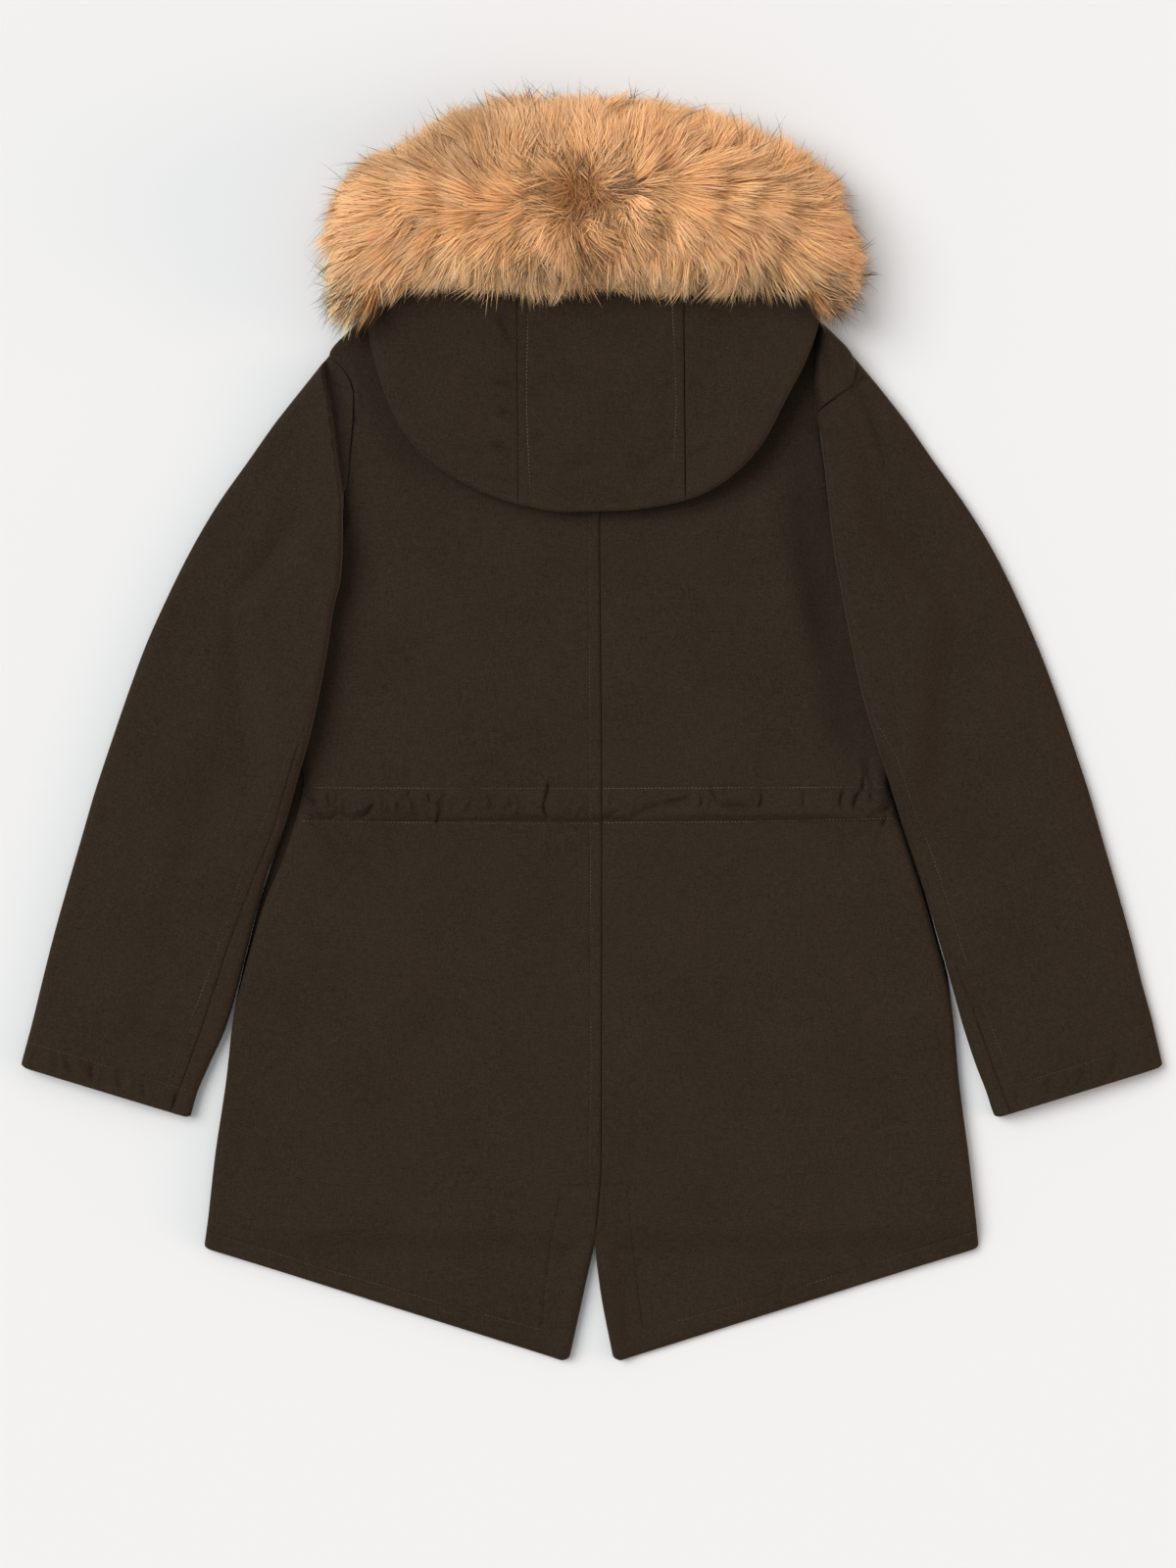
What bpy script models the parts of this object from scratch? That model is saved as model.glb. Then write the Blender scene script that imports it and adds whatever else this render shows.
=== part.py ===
"""Fur trimmed parka, laid flat on its front, with the hood folded down over the back.

The garment is built as the pieces that a maker cuts and sews: two back halves with a fishtail
vent, two fronts with a storm flap, two one-piece sleeves, a three-piece hood and the fur trim of
its edge. Lengths are in millimetres and become metres where a mesh is made. +Y points to the head
of the garment, +X to the right of its back, +Z up from the surface that it lies on.
"""

import math

import bmesh
import bpy
import numpy as np

MM = 0.001

# Driving dimensions
WALL = 5.8  # outer cotton, wadding and lining together
SEAM_GAP = 0.3
ARMHOLE_GAP = 0.8
BACK_UNDERSIDE = WALL + SEAM_GAP
BACK_LOFT = 6.0
EDGE_ROUND = 7.0  # how far a folded side edge takes to reach its full height
SLEEVE_VOID = 0.5
SLEEVE_HEIGHT = 2 * WALL + SLEEVE_VOID
SLEEVE_CROWN = 1.8
SLEEVE_RAMP = 30.0  # the sleeve climbs on to the body's side over this width
RAMP_CLEAR = 14.0  # and is up this far before the side's edge
LIE_ON_BACK = BACK_UNDERSIDE + BACK_LOFT + 0.5
HOOD_UNDERSIDE = 14.5
HOOD_WALL = 4.2
HOOD_HEIGHT = 10.8
HOOD_PUFF = 1.5
HOOD_ROUND = 9.0
HOOD_EDGE_Y = 339.0
HOOD_NECK_Y = 331.0
FLAP_HALF_WIDTH = 30.0
FLAP_THICKNESS = 2.0
CASING_TOP_Y = -46.0
CASING_FOOT_Y = -72.0
CASING_PUFF = 1.1
PUCKER = 1.2
FELL_WIDTH = 8.4  # the flat-felled strip beside the centre back seam
FELL_RAISE = 0.6
TAIL_RAMP = 24.0  # the tail settles from the fronts to the surface over this length
FUR_STEP_Y = 342.0  # beyond this the fur lies on the surface, before it on the hood

# The body's side edges, from the neck points down: shoulder, armhole seam, side seam.
SIDES = (
    # y, left x, right x
    (336, -94, 94),
    (326, -140, 142),
    (317, -174, 177),
    (305, -189, 191),
    (288, -202, 203),
    (279, -195, 204),
    (267, -188, 203.5),
    (257, -186, 192),
    (241, -186.5, 175.6),
    (226, -187.5, 176.8),
    (211, -189, 179.2),
    (194, -190, 181.6),
    (181, -191.5, 183.5),
    (162, -191.5, 187.2),
    (139, -203, 205),
    (116, -222, 226),
    (94, -238, 243),
    (33, -231, 236),
    (-20, -225, 231),
    (-43, -223, 229),
    (-58, -226, 233),
    (-77, -231, 239),
    (-104, -240, 247.5),
    (-134, -253, 257.5),
    (-165, -262.5, 266),
    (-190, -269.5, 273),
    (-226, -278, 280),
    (-271, -283, 284),
    (-332, -292, 292),
    (-385, -298, 298),
    (-404, -301, 300),
)

# The centre back seam and, below its end, the two edges of the vent.
CENTRE = (
    # y, left half x, right half x
    (336, 6, 6),
    (159, 6, 6),
    (-58, 7.5, 7.5),
    (-340, 7, 7),
    (-380, 4, 4),
    (-397, 2.3, 2.3),
    (-430, -4.5, 7),
    (-492, -18, 21.5),
)

# Rows of the back, from its side edge to its centre.
BACK_ROWS = (
    # side y, centre y
    (336, 334),
    (326, 326),
    (317, 317),
    (305, 305),
    (288, 288),
    (279, 279),
    (267, 267),
    (257, 257),
    (241, 241),
    (226, 226),
    (211, 211),
    (194, 194),
    (181, 180),
    (162, 161),
    (139, 138),
    (94, 94),
    (33, 33),
    (-20, -18),
    (-40, -40),
    (CASING_TOP_Y, CASING_TOP_Y),
    (-52, -52),
    (-59, -59),
    (-66, -66),
    (CASING_FOOT_Y, CASING_FOOT_Y),
    (-79, -79),
    (-134, -134),
    (-226, -226),
    (-310, -320),
    (-381, -384),
    (-388, -399),
    (-394, -430),
    (-399.5, -468),
    (-402, -481),
    (-404, -490),
)
FRONT_HEM = (-381, -384)

FRONT_ROWS = (
    (336, 334),
    (317, 317),
    (288, 288),
    (267, 267),
    (241, 241),
    (211, 211),
    (181, 180),
    (162, 161),
    (139, 138),
    (94, 94),
    (-20, -18),
    (-43, -43),
    (-77, -77),
    (-134, -134),
    (-226, -226),
    (-310, -320),
)

# Stations of a sleeve from its armhole to its cuff: the outer fold and the inner fold in plan.
LEFT_SLEEVE = (
    # outer x, outer y, inner x, inner y
    (-224, 263, -193.5, 181),
    (-244, 238, -192.6, 162),
    (-266, 207, -192.5, 140),
    (-290, 173, -194, 116),
    (-310, 139, -200, 90),
    (-329, 101, -204.5, 59),
    (-346, 63, -210.5, 27),
    (-360, 25, -218, -7),
    (-373, -13, -228, -42),
    (-385.5, -51, -238.6, -78),
    (-396.5, -89, -252, -115),
    (-407.5, -127, -262.5, -153),
    (-418, -165, -272.5, -194),
    (-426.5, -199, -283.5, -232),
    (-433, -226, -296, -260),
    (-437.5, -243, -305.5, -282),
    (-441, -256, -309.5, -296),
    (-442.5, -262, -311, -302),
)
RIGHT_SLEEVE = (
    (223, 265, 176.6, 226),
    (243, 238, 179.4, 206),
    (266, 205, 182.8, 173),
    (289, 173, 186.8, 139),
    (310, 139, 193, 104),
    (329, 101, 199.5, 70),
    (345.5, 63, 207.5, 32),
    (360, 25, 218.8, -8),
    (373, -13, 230.8, -45),
    (385.5, -51, 243, -82),
    (396.5, -89, 255, -118),
    (407.5, -127, 266, -155),
    (418, -165, 277.5, -195),
    (426.5, -199, 287.5, -231),
    (434, -226, 297, -260),
    (438, -243, 305.5, -282),
    (441, -256, 310, -296),
    (442.5, -262, 312.5, -302),
)
# The first station of each sleeve follows the armhole seam.
LEFT_ARMHOLE = ((-203, 287), (-196, 279), (-189, 267), (-187, 257), (-187, 241), (-188, 226),
                (-189.5, 211), (-190.5, 194), (-192, 183))
RIGHT_ARMHOLE = ((204.5, 288), (205, 279), (205.5, 266), (193.5, 254.5), (176.8, 239.5),
                 (177, 228))
# How far the sleeve's inner fold is lifted on to the back.
LIFT = (
    # y, left lift, right lift
    (300, 0, 0),
    (230, 0, 0),
    (206, 0, 5.0),
    (183, 0, LIE_ON_BACK),
    (162, 6.0, LIE_ON_BACK),
    (142, LIE_ON_BACK, LIE_ON_BACK),
    (-38, LIE_ON_BACK, LIE_ON_BACK),
    (-60, 6.0, 6.0),
    (-90, 0, 0),
    (-310, 0, 0),
)

# The bottom fold of the hood, from its left end to its right end, and the edge above each point.
HOOD_FOLD = (
    # fold x, fold y, edge x
    (-175, 331, -176),
    (-172, 303, -168),
    (-166, 277, -158),
    (-153, 242, -142),
    (-132, 213, -118),
    (-102, 191, -92),
    (-57, 173, -58),
    (-20, 167, -20),
    (24, 168, 24),
    (70, 175, 71),
    (99, 188, 98),
    (129, 216, 122),
    (150, 254, 146),
    (166, 285, 162),
    (174, 308, 172),
    (179, 331, 180),
)
HOOD_SEAMS = (6, 9)  # the rows of HOOD_FOLD where the centre panel is sewn to the sides

# The fur trim: its far and near edges in plan and its height, from left to right.
FUR_OUTLINE = (
    # x, far y, near y, height
    (-210, 392, 352, 22),
    (-204, 408, 322, 40),
    (-196, 424, 311, 50),
    (-188, 436, 309, 57),
    (-181, 446, 322, 63),
    (-178.5, 449, 326, 65),
    (-140, 464, 329, 74),
    (-92, 483, 330, 80),
    (-30, 492, 329, 84),
    (32, 493, 329, 84),
    (92, 483, 330, 80),
    (145, 465, 328, 73),
    (182.5, 445, 325, 62),
    (185, 443, 320, 60),
    (192, 430, 309, 54),
    (200, 412, 313, 44),
    (207, 390, 330, 28),
    (211, 376, 350, 18),
)
FUR_ON_HOOD = (-178.5, 182.5)  # between these the fur's near part lies on the hood
FUR_SECTIONS = 32  # between those two places
FUR_LEFT_END = (-210, -207.5, -204, -200, -195, -189, -181)
FUR_RIGHT_END = (185, 191, 196, 201, 205, 208.5, 211)
FUR_TUFTS = 3.6  # depth of the tufts in the fur's outer surface
FUR_FRINGE = 8.0  # thickness of the fringe where it ends on the hood
FRINGE_LIFT = 0.6  # the fringe lies this far above the hood's edge

COTTON = (0.035, 0.024, 0.016, 1.0)
FUR = (0.62, 0.36, 0.15, 1.0)


# Curves and small helpers


def track(table, column):
    """A smooth monotone curve through one column of a table, read against its first column."""
    rows = sorted(table)
    at = np.array([row[0] for row in rows], float)
    value = np.array([row[column] for row in rows], float)
    slope = np.diff(value) / np.diff(at)
    tangent = np.zeros(len(rows))
    tangent[0], tangent[-1] = slope[0], slope[-1]
    for i in range(1, len(rows) - 1):
        before, after = slope[i - 1], slope[i]
        if before * after > 0:
            tangent[i] = 2 * before * after / (before + after)

    def read(where):
        i = int(np.clip(np.searchsorted(at, where) - 1, 0, len(at) - 2))
        width = at[i + 1] - at[i]
        t = min(max((where - at[i]) / width, 0.0), 1.0)
        ease = t * t * (3 - 2 * t)
        start = t * (1 - t) ** 2 * width * tangent[i]
        end = t * t * (t - 1) * width * tangent[i + 1]
        return value[i] * (1 - ease) + value[i + 1] * ease + start + end

    return read


def ease(t):
    t = min(max(t, 0.0), 1.0)
    return t * t * (3 - 2 * t)


def bump(distance, width):
    return math.exp(-((distance / width) ** 2))


def rounded(distance, reach):
    """The share of its full height that a folded edge has at a distance from the edge."""
    if distance >= reach:
        return 1.0
    return math.sqrt(1 - (1 - distance / reach) ** 2)


side_edges = {"left": track(SIDES, 1), "right": track(SIDES, 2)}
centre_edges = {"left": track(CENTRE, 1), "right": track(CENTRE, 2)}
lifts = {"left": track(LIFT, 1), "right": track(LIFT, 2)}
fur_outline = [track(FUR_OUTLINE, column) for column in (1, 2, 3)]


# Surfaces of the body


def tail_drop(y, across):
    """How far the tail has settled below the level of the fronts, from 0 to 1."""
    hem = FRONT_HEM[0] + (FRONT_HEM[1] - FRONT_HEM[0]) * across
    return ease((hem - 2 - y) / TAIL_RAMP)


def back_underside(x, y, across):
    return BACK_UNDERSIDE * (1 - tail_drop(y, across))


def casing_relief(y, column):
    """The drawn-in waist casing: a puffed band between two stitched rows, gathered in puckers."""
    middle = (CASING_TOP_Y + CASING_FOOT_Y) / 2
    half = (CASING_TOP_Y - CASING_FOOT_Y) / 2
    offset = abs(y - middle) / half
    if offset > 1.6:
        return 0.0
    wave = PUCKER if column % 2 else -PUCKER * 0.6
    band = CASING_PUFF + wave * (0.8 + 0.4 * math.sin(column * 2.1))
    return band * max(0.0, 1 - offset**2) - 0.9 * bump(offset - 1, 0.2)


def back_relief(hand, x, y, across, column):
    """What stands up from the back: its loft, seams and largest folds."""
    from_side = abs(x - side_edges[hand](y))
    inner = ease((from_side - 60) / 80)
    height = 0.7 * inner
    if hand == "left" and centre_edges[hand](y) - x < FELL_WIDTH:
        height += FELL_RAISE
    height += casing_relief(y, column) * ease(from_side / 25)
    skirt = ease((-85 - y) / 60) * ease((y + 370) / 60)
    height += skirt * 1.6 * bump(abs(x) - 150 - 0.16 * (-85 - y), 26)
    height -= skirt * 1.0 * bump(abs(x) - 95 - 0.10 * (-85 - y), 18)
    if hand == "right" and y > 236:
        height += 2.6 * ease((x - 170) / 6) * ease((y - 236) / 10) * ease((322 - y) / 8)
    return height


def back_columns(hand, start, end):
    """Places from the side edge, at 0, to the centre, at 1, closer together at both ends."""
    width = abs(end - start)
    places = [EDGE_ROUND * (1 - math.cos(a)) / width for a in (0, 0.55, 1.05, math.pi / 2)]
    last = 1 - (FELL_WIDTH + 0.6) / width
    inside = 17
    places += [places[-1] + (last - places[-1]) * i / inside for i in range(1, inside + 1)]
    places += [1 - (FELL_WIDTH - 0.6) / width, 1.0]
    return places


def back_grids(hand):
    """The plan, top and underside of one back half."""
    side, centre = side_edges[hand], centre_edges[hand]
    inward = 1 if hand == "left" else -1
    plan, top, under = [], [], []
    for row, (side_y, centre_y) in enumerate(BACK_ROWS):
        start = side(side_y)
        end = centre(centre_y) - inward * SEAM_GAP / 2
        places = back_columns(hand, start, end)
        width = abs(end - start)
        edge = min(row, len(BACK_ROWS) - 1 - row)
        hem = rounded(1.2 + 3.0 * edge, EDGE_ROUND) if row > len(BACK_ROWS) - 4 else 1.0
        plan_row, top_row, under_row = [], [], []
        for column, place in enumerate(places):
            x = start + (end - start) * place
            y = side_y + (centre_y - side_y) * place
            low = back_underside(x, y, place)
            rise = BACK_LOFT + back_relief(hand, x, y, place, column)
            height = rise * rounded(place * width, EDGE_ROUND) * hem
            plan_row.append((x, y))
            under_row.append(low)
            top_row.append(low + max(height, 0.8))
        plan.append(plan_row)
        top.append(top_row)
        under.append(under_row)
    return plan, top, under


def front_grids(hand):
    """The plan, top and underside of one front, thinner where it lies over the storm flap."""
    side = side_edges[hand]
    inward = 1 if hand == "left" else -1
    over_flap = FLAP_HALF_WIDTH + SEAM_GAP
    plan, top, under = [], [], []
    rows = (*FRONT_ROWS, FRONT_HEM)
    for side_y, centre_y in rows:
        start, end = side(side_y), -inward * SEAM_GAP / 2
        width = abs(end - start)
        places = [EDGE_ROUND * (1 - math.cos(a)) / width for a in (0, 0.55, 1.05, math.pi / 2)]
        places += [0.25, 0.5, 1 - (over_flap + 10) / width, 1 - over_flap / width, 1.0]
        plan_row, under_row = [], []
        for place in places:
            x = start + (end - start) * place
            y = side_y + (centre_y - side_y) * place
            low = WALL * (1 - rounded(place * width, EDGE_ROUND))
            if abs(x) <= over_flap + SEAM_GAP:
                low = FLAP_THICKNESS + SEAM_GAP
            plan_row.append((x, y + (0.6 if y < FRONT_HEM[0] + 5 else 0.0)))
            under_row.append(min(low, WALL - 0.8))
        plan.append(plan_row)
        top.append([WALL] * len(places))
        under.append(under_row)
    return plan, top, under


# Sleeves


def along(points, place):
    """The point at a share of the length of a line of points."""
    steps = [math.dist(a, b) for a, b in zip(points, points[1:])]
    target = place * sum(steps)
    for (ax, ay), (bx, by), step in zip(points, points[1:], steps):
        if target <= step + 1e-6:
            t = target / step
            return ax + (bx - ax) * t, ay + (by - ay) * t
        target -= step
    return points[-1]


def sleeve_underside(hand, x, y):
    """The height of a sleeve's underside, which climbs from the surface on to the body."""
    side = side_edges[hand](y)
    inside = (x - side) if hand == "left" else (side - x)
    return lifts[hand](y) * ease((inside + RAMP_CLEAR + SLEEVE_RAMP) / SLEEVE_RAMP)


def sleeve_relief(place, station):
    """The loft of a sleeve and its few long soft folds, from its outer to its inner fold."""
    fold = 1.3 * bump(place - 0.30 - 0.012 * station, 0.09) * ease(station / 3)
    fold -= 0.9 * bump(place - 0.62 + 0.006 * station, 0.08) * ease(station / 4)
    return SLEEVE_CROWN * math.sin(math.pi * place) + fold * ease((17 - station) / 4)


def sleeve_rings(hand, stations, armhole):
    """Outer and inner rings of a sleeve: over the top from its outer fold, and back beneath."""
    angles = (0.0, 0.5, 1.0, math.pi / 2)
    middle = (0.2, 0.35, 0.5, 0.65, 0.8)
    outward = -1 if hand == "left" else 1
    outer, inner = [], []
    for number, (outer_x, outer_y, inner_x, inner_y) in enumerate(stations):
        line = ((outer_x, outer_y), (inner_x, inner_y))
        if number == 0:
            line = [(x + outward * ARMHOLE_GAP, y - 0.3) for x, y in armhole]
        width = sum(math.dist(a, b) for a, b in zip(line, line[1:]))
        turn = EDGE_ROUND / width
        near = [turn * (1 - math.cos(a)) for a in angles]
        over = [*zip(near, angles), *((p, math.pi / 2) for p in middle)]
        over += [(1 - p, a) for p, a in zip(reversed(near), reversed(angles))]
        outer_ring, inner_ring = [], []
        for up in (1, -1):
            path = over if up == 1 else over[-2:0:-1]
            for place, angle in path:
                x, y = along(line, place)
                low = sleeve_underside(hand, x, y)
                top = low + SLEEVE_HEIGHT + sleeve_relief(place, number)
                mid = (low + top) / 2
                half = (top - low) / 2
                outer_ring.append((x, y, mid + up * half * math.sin(angle)))
                share = WALL / width
                hollow = share + (1 - 2 * share) * place
                void_x, void_y = along(line, hollow)
                void_half = max(half - WALL, SLEEVE_VOID / 2) * (0.25 + 0.75 * math.sin(angle))
                void_low = sleeve_underside(hand, void_x, void_y)
                void_mid = void_low + (top - low) / 2
                sharp = void_half if angle else 0.0
                inner_ring.append((void_x, void_y, void_mid + up * sharp))
        outer.append(outer_ring)
        inner.append(inner_ring)
    return outer, inner


# Hood


def hood_columns(first, last, steps):
    """Columns of a hood panel, each as its fold point and the point on its edge."""
    rows = [(i, *HOOD_FOLD[i]) for i in range(len(HOOD_FOLD))]
    fold_x, fold_y, edge_x = (track(rows, c) for c in (1, 2, 3))
    retreat = 0.004  # half a seam's gap, as a share of a row's width
    columns = []
    for i in range(steps + 1):
        at = first + (last - first) * i / steps
        if i == 0 and first in HOOD_SEAMS:
            at += retreat
        if i == steps and last in HOOD_SEAMS:
            at -= retreat
        columns.append(((fold_x(at), fold_y(at)), (edge_x(at), HOOD_EDGE_Y)))
    return columns


def hood_profile(length):
    """Outer and inner places of the hood's wall along one column.

    Each is a distance from the fold and a height, from the neck seam beneath, round the bottom
    fold and up to the edge of the face opening.
    """
    half = HOOD_HEIGHT / 2
    neck = length - (HOOD_EDGE_Y - HOOD_NECK_Y)
    reach = min(HOOD_ROUND, neck * 0.5)
    inner_reach = max(reach - HOOD_WALL, 0.6)
    outer, inner = [], []
    for share in (1.0, 0.6, 0.3):
        at = reach + (neck - reach) * share
        outer.append((at, 0.0))
        inner.append((at, HOOD_WALL))
    for angle in (-90, -55, -20, 20, 55, 90):
        a = math.radians(angle)
        outer.append((reach * (1 - math.cos(a)), half + half * math.sin(a)))
        void = half - HOOD_WALL
        inner_at = reach - inner_reach * math.cos(a)
        inner.append((inner_at, half + void * math.sin(a)))
    for share in (0.12, 0.35, 0.7, 1.0):
        at = reach + (length - reach) * share
        puff = HOOD_PUFF * math.sin(math.pi * share) * ease(length / 120)
        outer.append((at, HOOD_HEIGHT + puff))
        inner.append((at, HOOD_HEIGHT - HOOD_WALL + puff))
    return outer, inner


def hood_grids(first, last, steps):
    """The outer and inner grid of one hood panel, column by column."""
    outer_grid, inner_grid = [], []
    for (fold_x, fold_y), (edge_x, edge_y) in hood_columns(first, last, steps):
        length = math.dist((fold_x, fold_y), (edge_x, edge_y))
        outer, inner = hood_profile(length)
        for grid, profile in ((outer_grid, outer), (inner_grid, inner)):
            column = []
            for at, height in profile:
                t = at / length
                x = fold_x + (edge_x - fold_x) * t
                y = fold_y + (edge_y - fold_y) * t
                column.append((x, y, HOOD_UNDERSIDE + height))
            grid.append(column)
    return outer_grid, inner_grid


# Fur trim


def tuft(index, place):
    """How far a tuft stands out, in uneven rows along the trim and across it."""
    along_trim = math.sin(index * 2.1 + 1.3 * math.sin(place * 2.7))
    return FUR_TUFTS * along_trim * math.sin(place * 1.9 + index * 0.83)


def fur_ring(index, x):
    """One section of the fur: over the top from its far edge to its fringe, and back beneath."""
    far, near, height = (read(x) for read in fur_outline)
    on_hood = FUR_ON_HOOD[0] <= x <= FUR_ON_HOOD[1]
    fringe_low = HOOD_UNDERSIDE + HOOD_HEIGHT + FRINGE_LIFT if on_hood else 0.0
    ragged = ease((height - 30) / 30)
    far += 0.7 * tuft(index, 0.8) * ragged
    ring = []
    over = 16
    for i in range(over + 1):
        a = math.pi * i / over
        y = far + (near - far) * (1 - math.cos(a)) / 2
        share = math.sin(a) ** 0.75 if 0 < i < over else 0.0
        base = fringe_low * ease((400 - y) / 70) + FUR_FRINGE * 0.6
        ring.append((x, y, base + (height - base) * share + tuft(index, i) * share))
    step = FUR_STEP_Y if on_hood else near + 8
    ring.append((x, near + 0.5, fringe_low))
    ring.append((x, step - 0.6, fringe_low))
    ring.append((x, step, 0.0))
    ring.append((x, (step + far) / 2, 0.0))
    ring.append((x, far - 3.0, 0.0))
    return ring


# Meshes


def new_object(name, vertices, faces, material, smooth_angle=50):
    mesh = bpy.data.meshes.new(name)
    mesh.from_pydata([tuple(c * MM for c in v) for v in vertices], [], faces)
    built = bmesh.new()
    built.from_mesh(mesh)
    bmesh.ops.recalc_face_normals(built, faces=built.faces)
    bmesh.ops.triangulate(built, faces=built.faces)
    built.to_mesh(mesh)
    built.free()
    mesh.materials.append(material)
    mesh.shade_smooth()
    mesh.set_sharp_from_angle(angle=math.radians(smooth_angle))
    piece = bpy.data.objects.new(name, mesh)
    parka.objects.link(piece)
    return piece


def wall_between(name, outer, inner, material):
    """A closed wall between two grids of points with the same rows and columns."""
    rows, columns = len(outer), len(outer[0])
    count = rows * columns
    vertices = [p for row in outer for p in row] + [p for row in inner for p in row]
    faces = []
    for r in range(rows - 1):
        for c in range(columns - 1):
            a, b = r * columns + c, (r + 1) * columns + c
            faces.append((a, a + 1, b + 1, b))
            faces.append((count + a, count + b, count + b + 1, count + a + 1))
    rim = list(range(columns))
    rim += [r * columns + columns - 1 for r in range(1, rows)]
    rim += [(rows - 1) * columns + c for c in range(columns - 2, -1, -1)]
    rim += [r * columns for r in range(rows - 2, 0, -1)]
    for a, b in zip(rim, rim[1:] + rim[:1]):
        faces.append((a, count + a, count + b, b))
    return new_object(name, vertices, faces, material)


def slab(name, plan, top, under, material):
    """A flat piece of cloth between its top heights and its underside."""
    upper = [[(x, y, z) for (x, y), z in zip(p, t)] for p, t in zip(plan, top)]
    lower = [[(x, y, z) for (x, y), z in zip(p, u)] for p, u in zip(plan, under)]
    return wall_between(name, upper, lower, material)


def tube(name, outer, inner, material):
    """A tube wall between outer and inner rings, open at both ends."""
    count, size = len(outer), len(outer[0])
    vertices = [p for ring in outer for p in ring] + [p for ring in inner for p in ring]
    shift = count * size
    faces = []
    for r in range(count - 1):
        for c in range(size):
            d = (c + 1) % size
            a, b, e, f = r * size + c, r * size + d, (r + 1) * size + d, (r + 1) * size + c
            faces.append((a, b, e, f))
            faces.append((shift + a, shift + f, shift + e, shift + b))
    for start in (0, (count - 1) * size):
        for c in range(size):
            a, b = start + c, start + (c + 1) % size
            faces.append((a, b, shift + b, shift + a))
    return new_object(name, vertices, faces, material)


def loft(name, rings, material):
    """A solid through rings of points, closed by its first and last ring."""
    size = len(rings[0])
    vertices = [p for ring in rings for p in ring]
    faces = [tuple(range(size)), tuple(range(len(vertices) - 1, len(vertices) - size - 1, -1))]
    for r in range(len(rings) - 1):
        for c in range(size):
            a, b = r * size + c, r * size + (c + 1) % size
            faces.append((a, b, b + size, a + size))
    return new_object(name, vertices, faces, material)


def finish(name, colour, roughness):
    material = bpy.data.materials.new(name)
    material.use_nodes = True
    shader = material.node_tree.nodes["Principled BSDF"]
    shader.inputs["Base Color"].default_value = colour
    shader.inputs["Roughness"].default_value = roughness
    shader.inputs["Metallic"].default_value = 0.0
    material.diffuse_color = colour
    return material


# Pieces


def make_body(cotton):
    for hand in ("left", "right"):
        slab(f"back_{hand}", *back_grids(hand), cotton)
        slab(f"front_{hand}", *front_grids(hand), cotton)


def make_storm_flap(cotton):
    """The plain flap that covers the front closing, flat against the surface."""
    down = (334, 200, -100, FRONT_HEM[0] + 3)
    across = (-FLAP_HALF_WIDTH, 0.0, FLAP_HALF_WIDTH)
    plan = [[(x, y) for x in across] for y in down]
    top = [[FLAP_THICKNESS] * len(across)] * len(down)
    under = [[0.0] * len(across)] * len(down)
    slab("storm_flap", plan, top, under, cotton)


def make_sleeves(cotton):
    tube("sleeve_left", *sleeve_rings("left", LEFT_SLEEVE, LEFT_ARMHOLE), cotton)
    tube("sleeve_right", *sleeve_rings("right", RIGHT_SLEEVE, RIGHT_ARMHOLE), cotton)


def make_hood(cotton):
    left_seam, right_seam = HOOD_SEAMS
    wall_between("hood_side_left", *hood_grids(0, left_seam, 9), cotton)
    wall_between("hood_centre", *hood_grids(left_seam, right_seam, 5), cotton)
    wall_between("hood_side_right", *hood_grids(right_seam, len(HOOD_FOLD) - 1, 9), cotton)


def make_fur(fur):
    first, last = FUR_ON_HOOD
    step = (last - first) / FUR_SECTIONS
    places = [*FUR_LEFT_END, *(first + i * step for i in range(FUR_SECTIONS + 1)), *FUR_RIGHT_END]
    loft("fur_trim", [fur_ring(i, x) for i, x in enumerate(places)], fur)


for old in list(bpy.data.objects):
    bpy.data.objects.remove(old)
parka = bpy.data.collections.new("parka")
bpy.context.scene.collection.children.link(parka)
dark_cotton = finish("dark cotton twill", COTTON, 0.85)
make_body(dark_cotton)
make_storm_flap(dark_cotton)
make_sleeves(dark_cotton)
make_hood(dark_cotton)
make_fur(finish("golden fur", FUR, 0.8))
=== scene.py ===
"""Looks of the fur trimmed parka: its cloth, seams, stitching and fur, the floor, light and camera.

The garment lies flat on its front with the hood folded down over the back. Lengths are in
millimetres until a mesh is made. +Y points to the head of the garment, +X to the right of its
back, +Z up from the floor. The outlines of the cut follow those of the garment's solids, so that
every piece lies where its solid does, and the surface between them is finer.
"""

import math

import bmesh
import bpy
import numpy as np
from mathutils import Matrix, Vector
from mathutils.bvhtree import BVHTree
from mathutils.kdtree import KDTree


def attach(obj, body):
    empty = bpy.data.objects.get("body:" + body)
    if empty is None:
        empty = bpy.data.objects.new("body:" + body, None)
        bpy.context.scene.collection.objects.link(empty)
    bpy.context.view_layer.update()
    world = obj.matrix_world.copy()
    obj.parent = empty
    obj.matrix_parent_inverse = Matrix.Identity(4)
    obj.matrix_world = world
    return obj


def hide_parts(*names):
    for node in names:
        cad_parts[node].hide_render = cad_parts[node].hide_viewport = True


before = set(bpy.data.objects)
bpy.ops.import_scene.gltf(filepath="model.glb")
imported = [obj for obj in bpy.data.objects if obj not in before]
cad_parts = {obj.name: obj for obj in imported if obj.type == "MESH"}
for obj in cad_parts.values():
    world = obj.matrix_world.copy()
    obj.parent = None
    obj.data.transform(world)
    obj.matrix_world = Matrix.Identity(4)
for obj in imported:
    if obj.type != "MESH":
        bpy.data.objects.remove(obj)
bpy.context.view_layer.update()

MM = 0.001
RANDOM_SEED = 20

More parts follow.
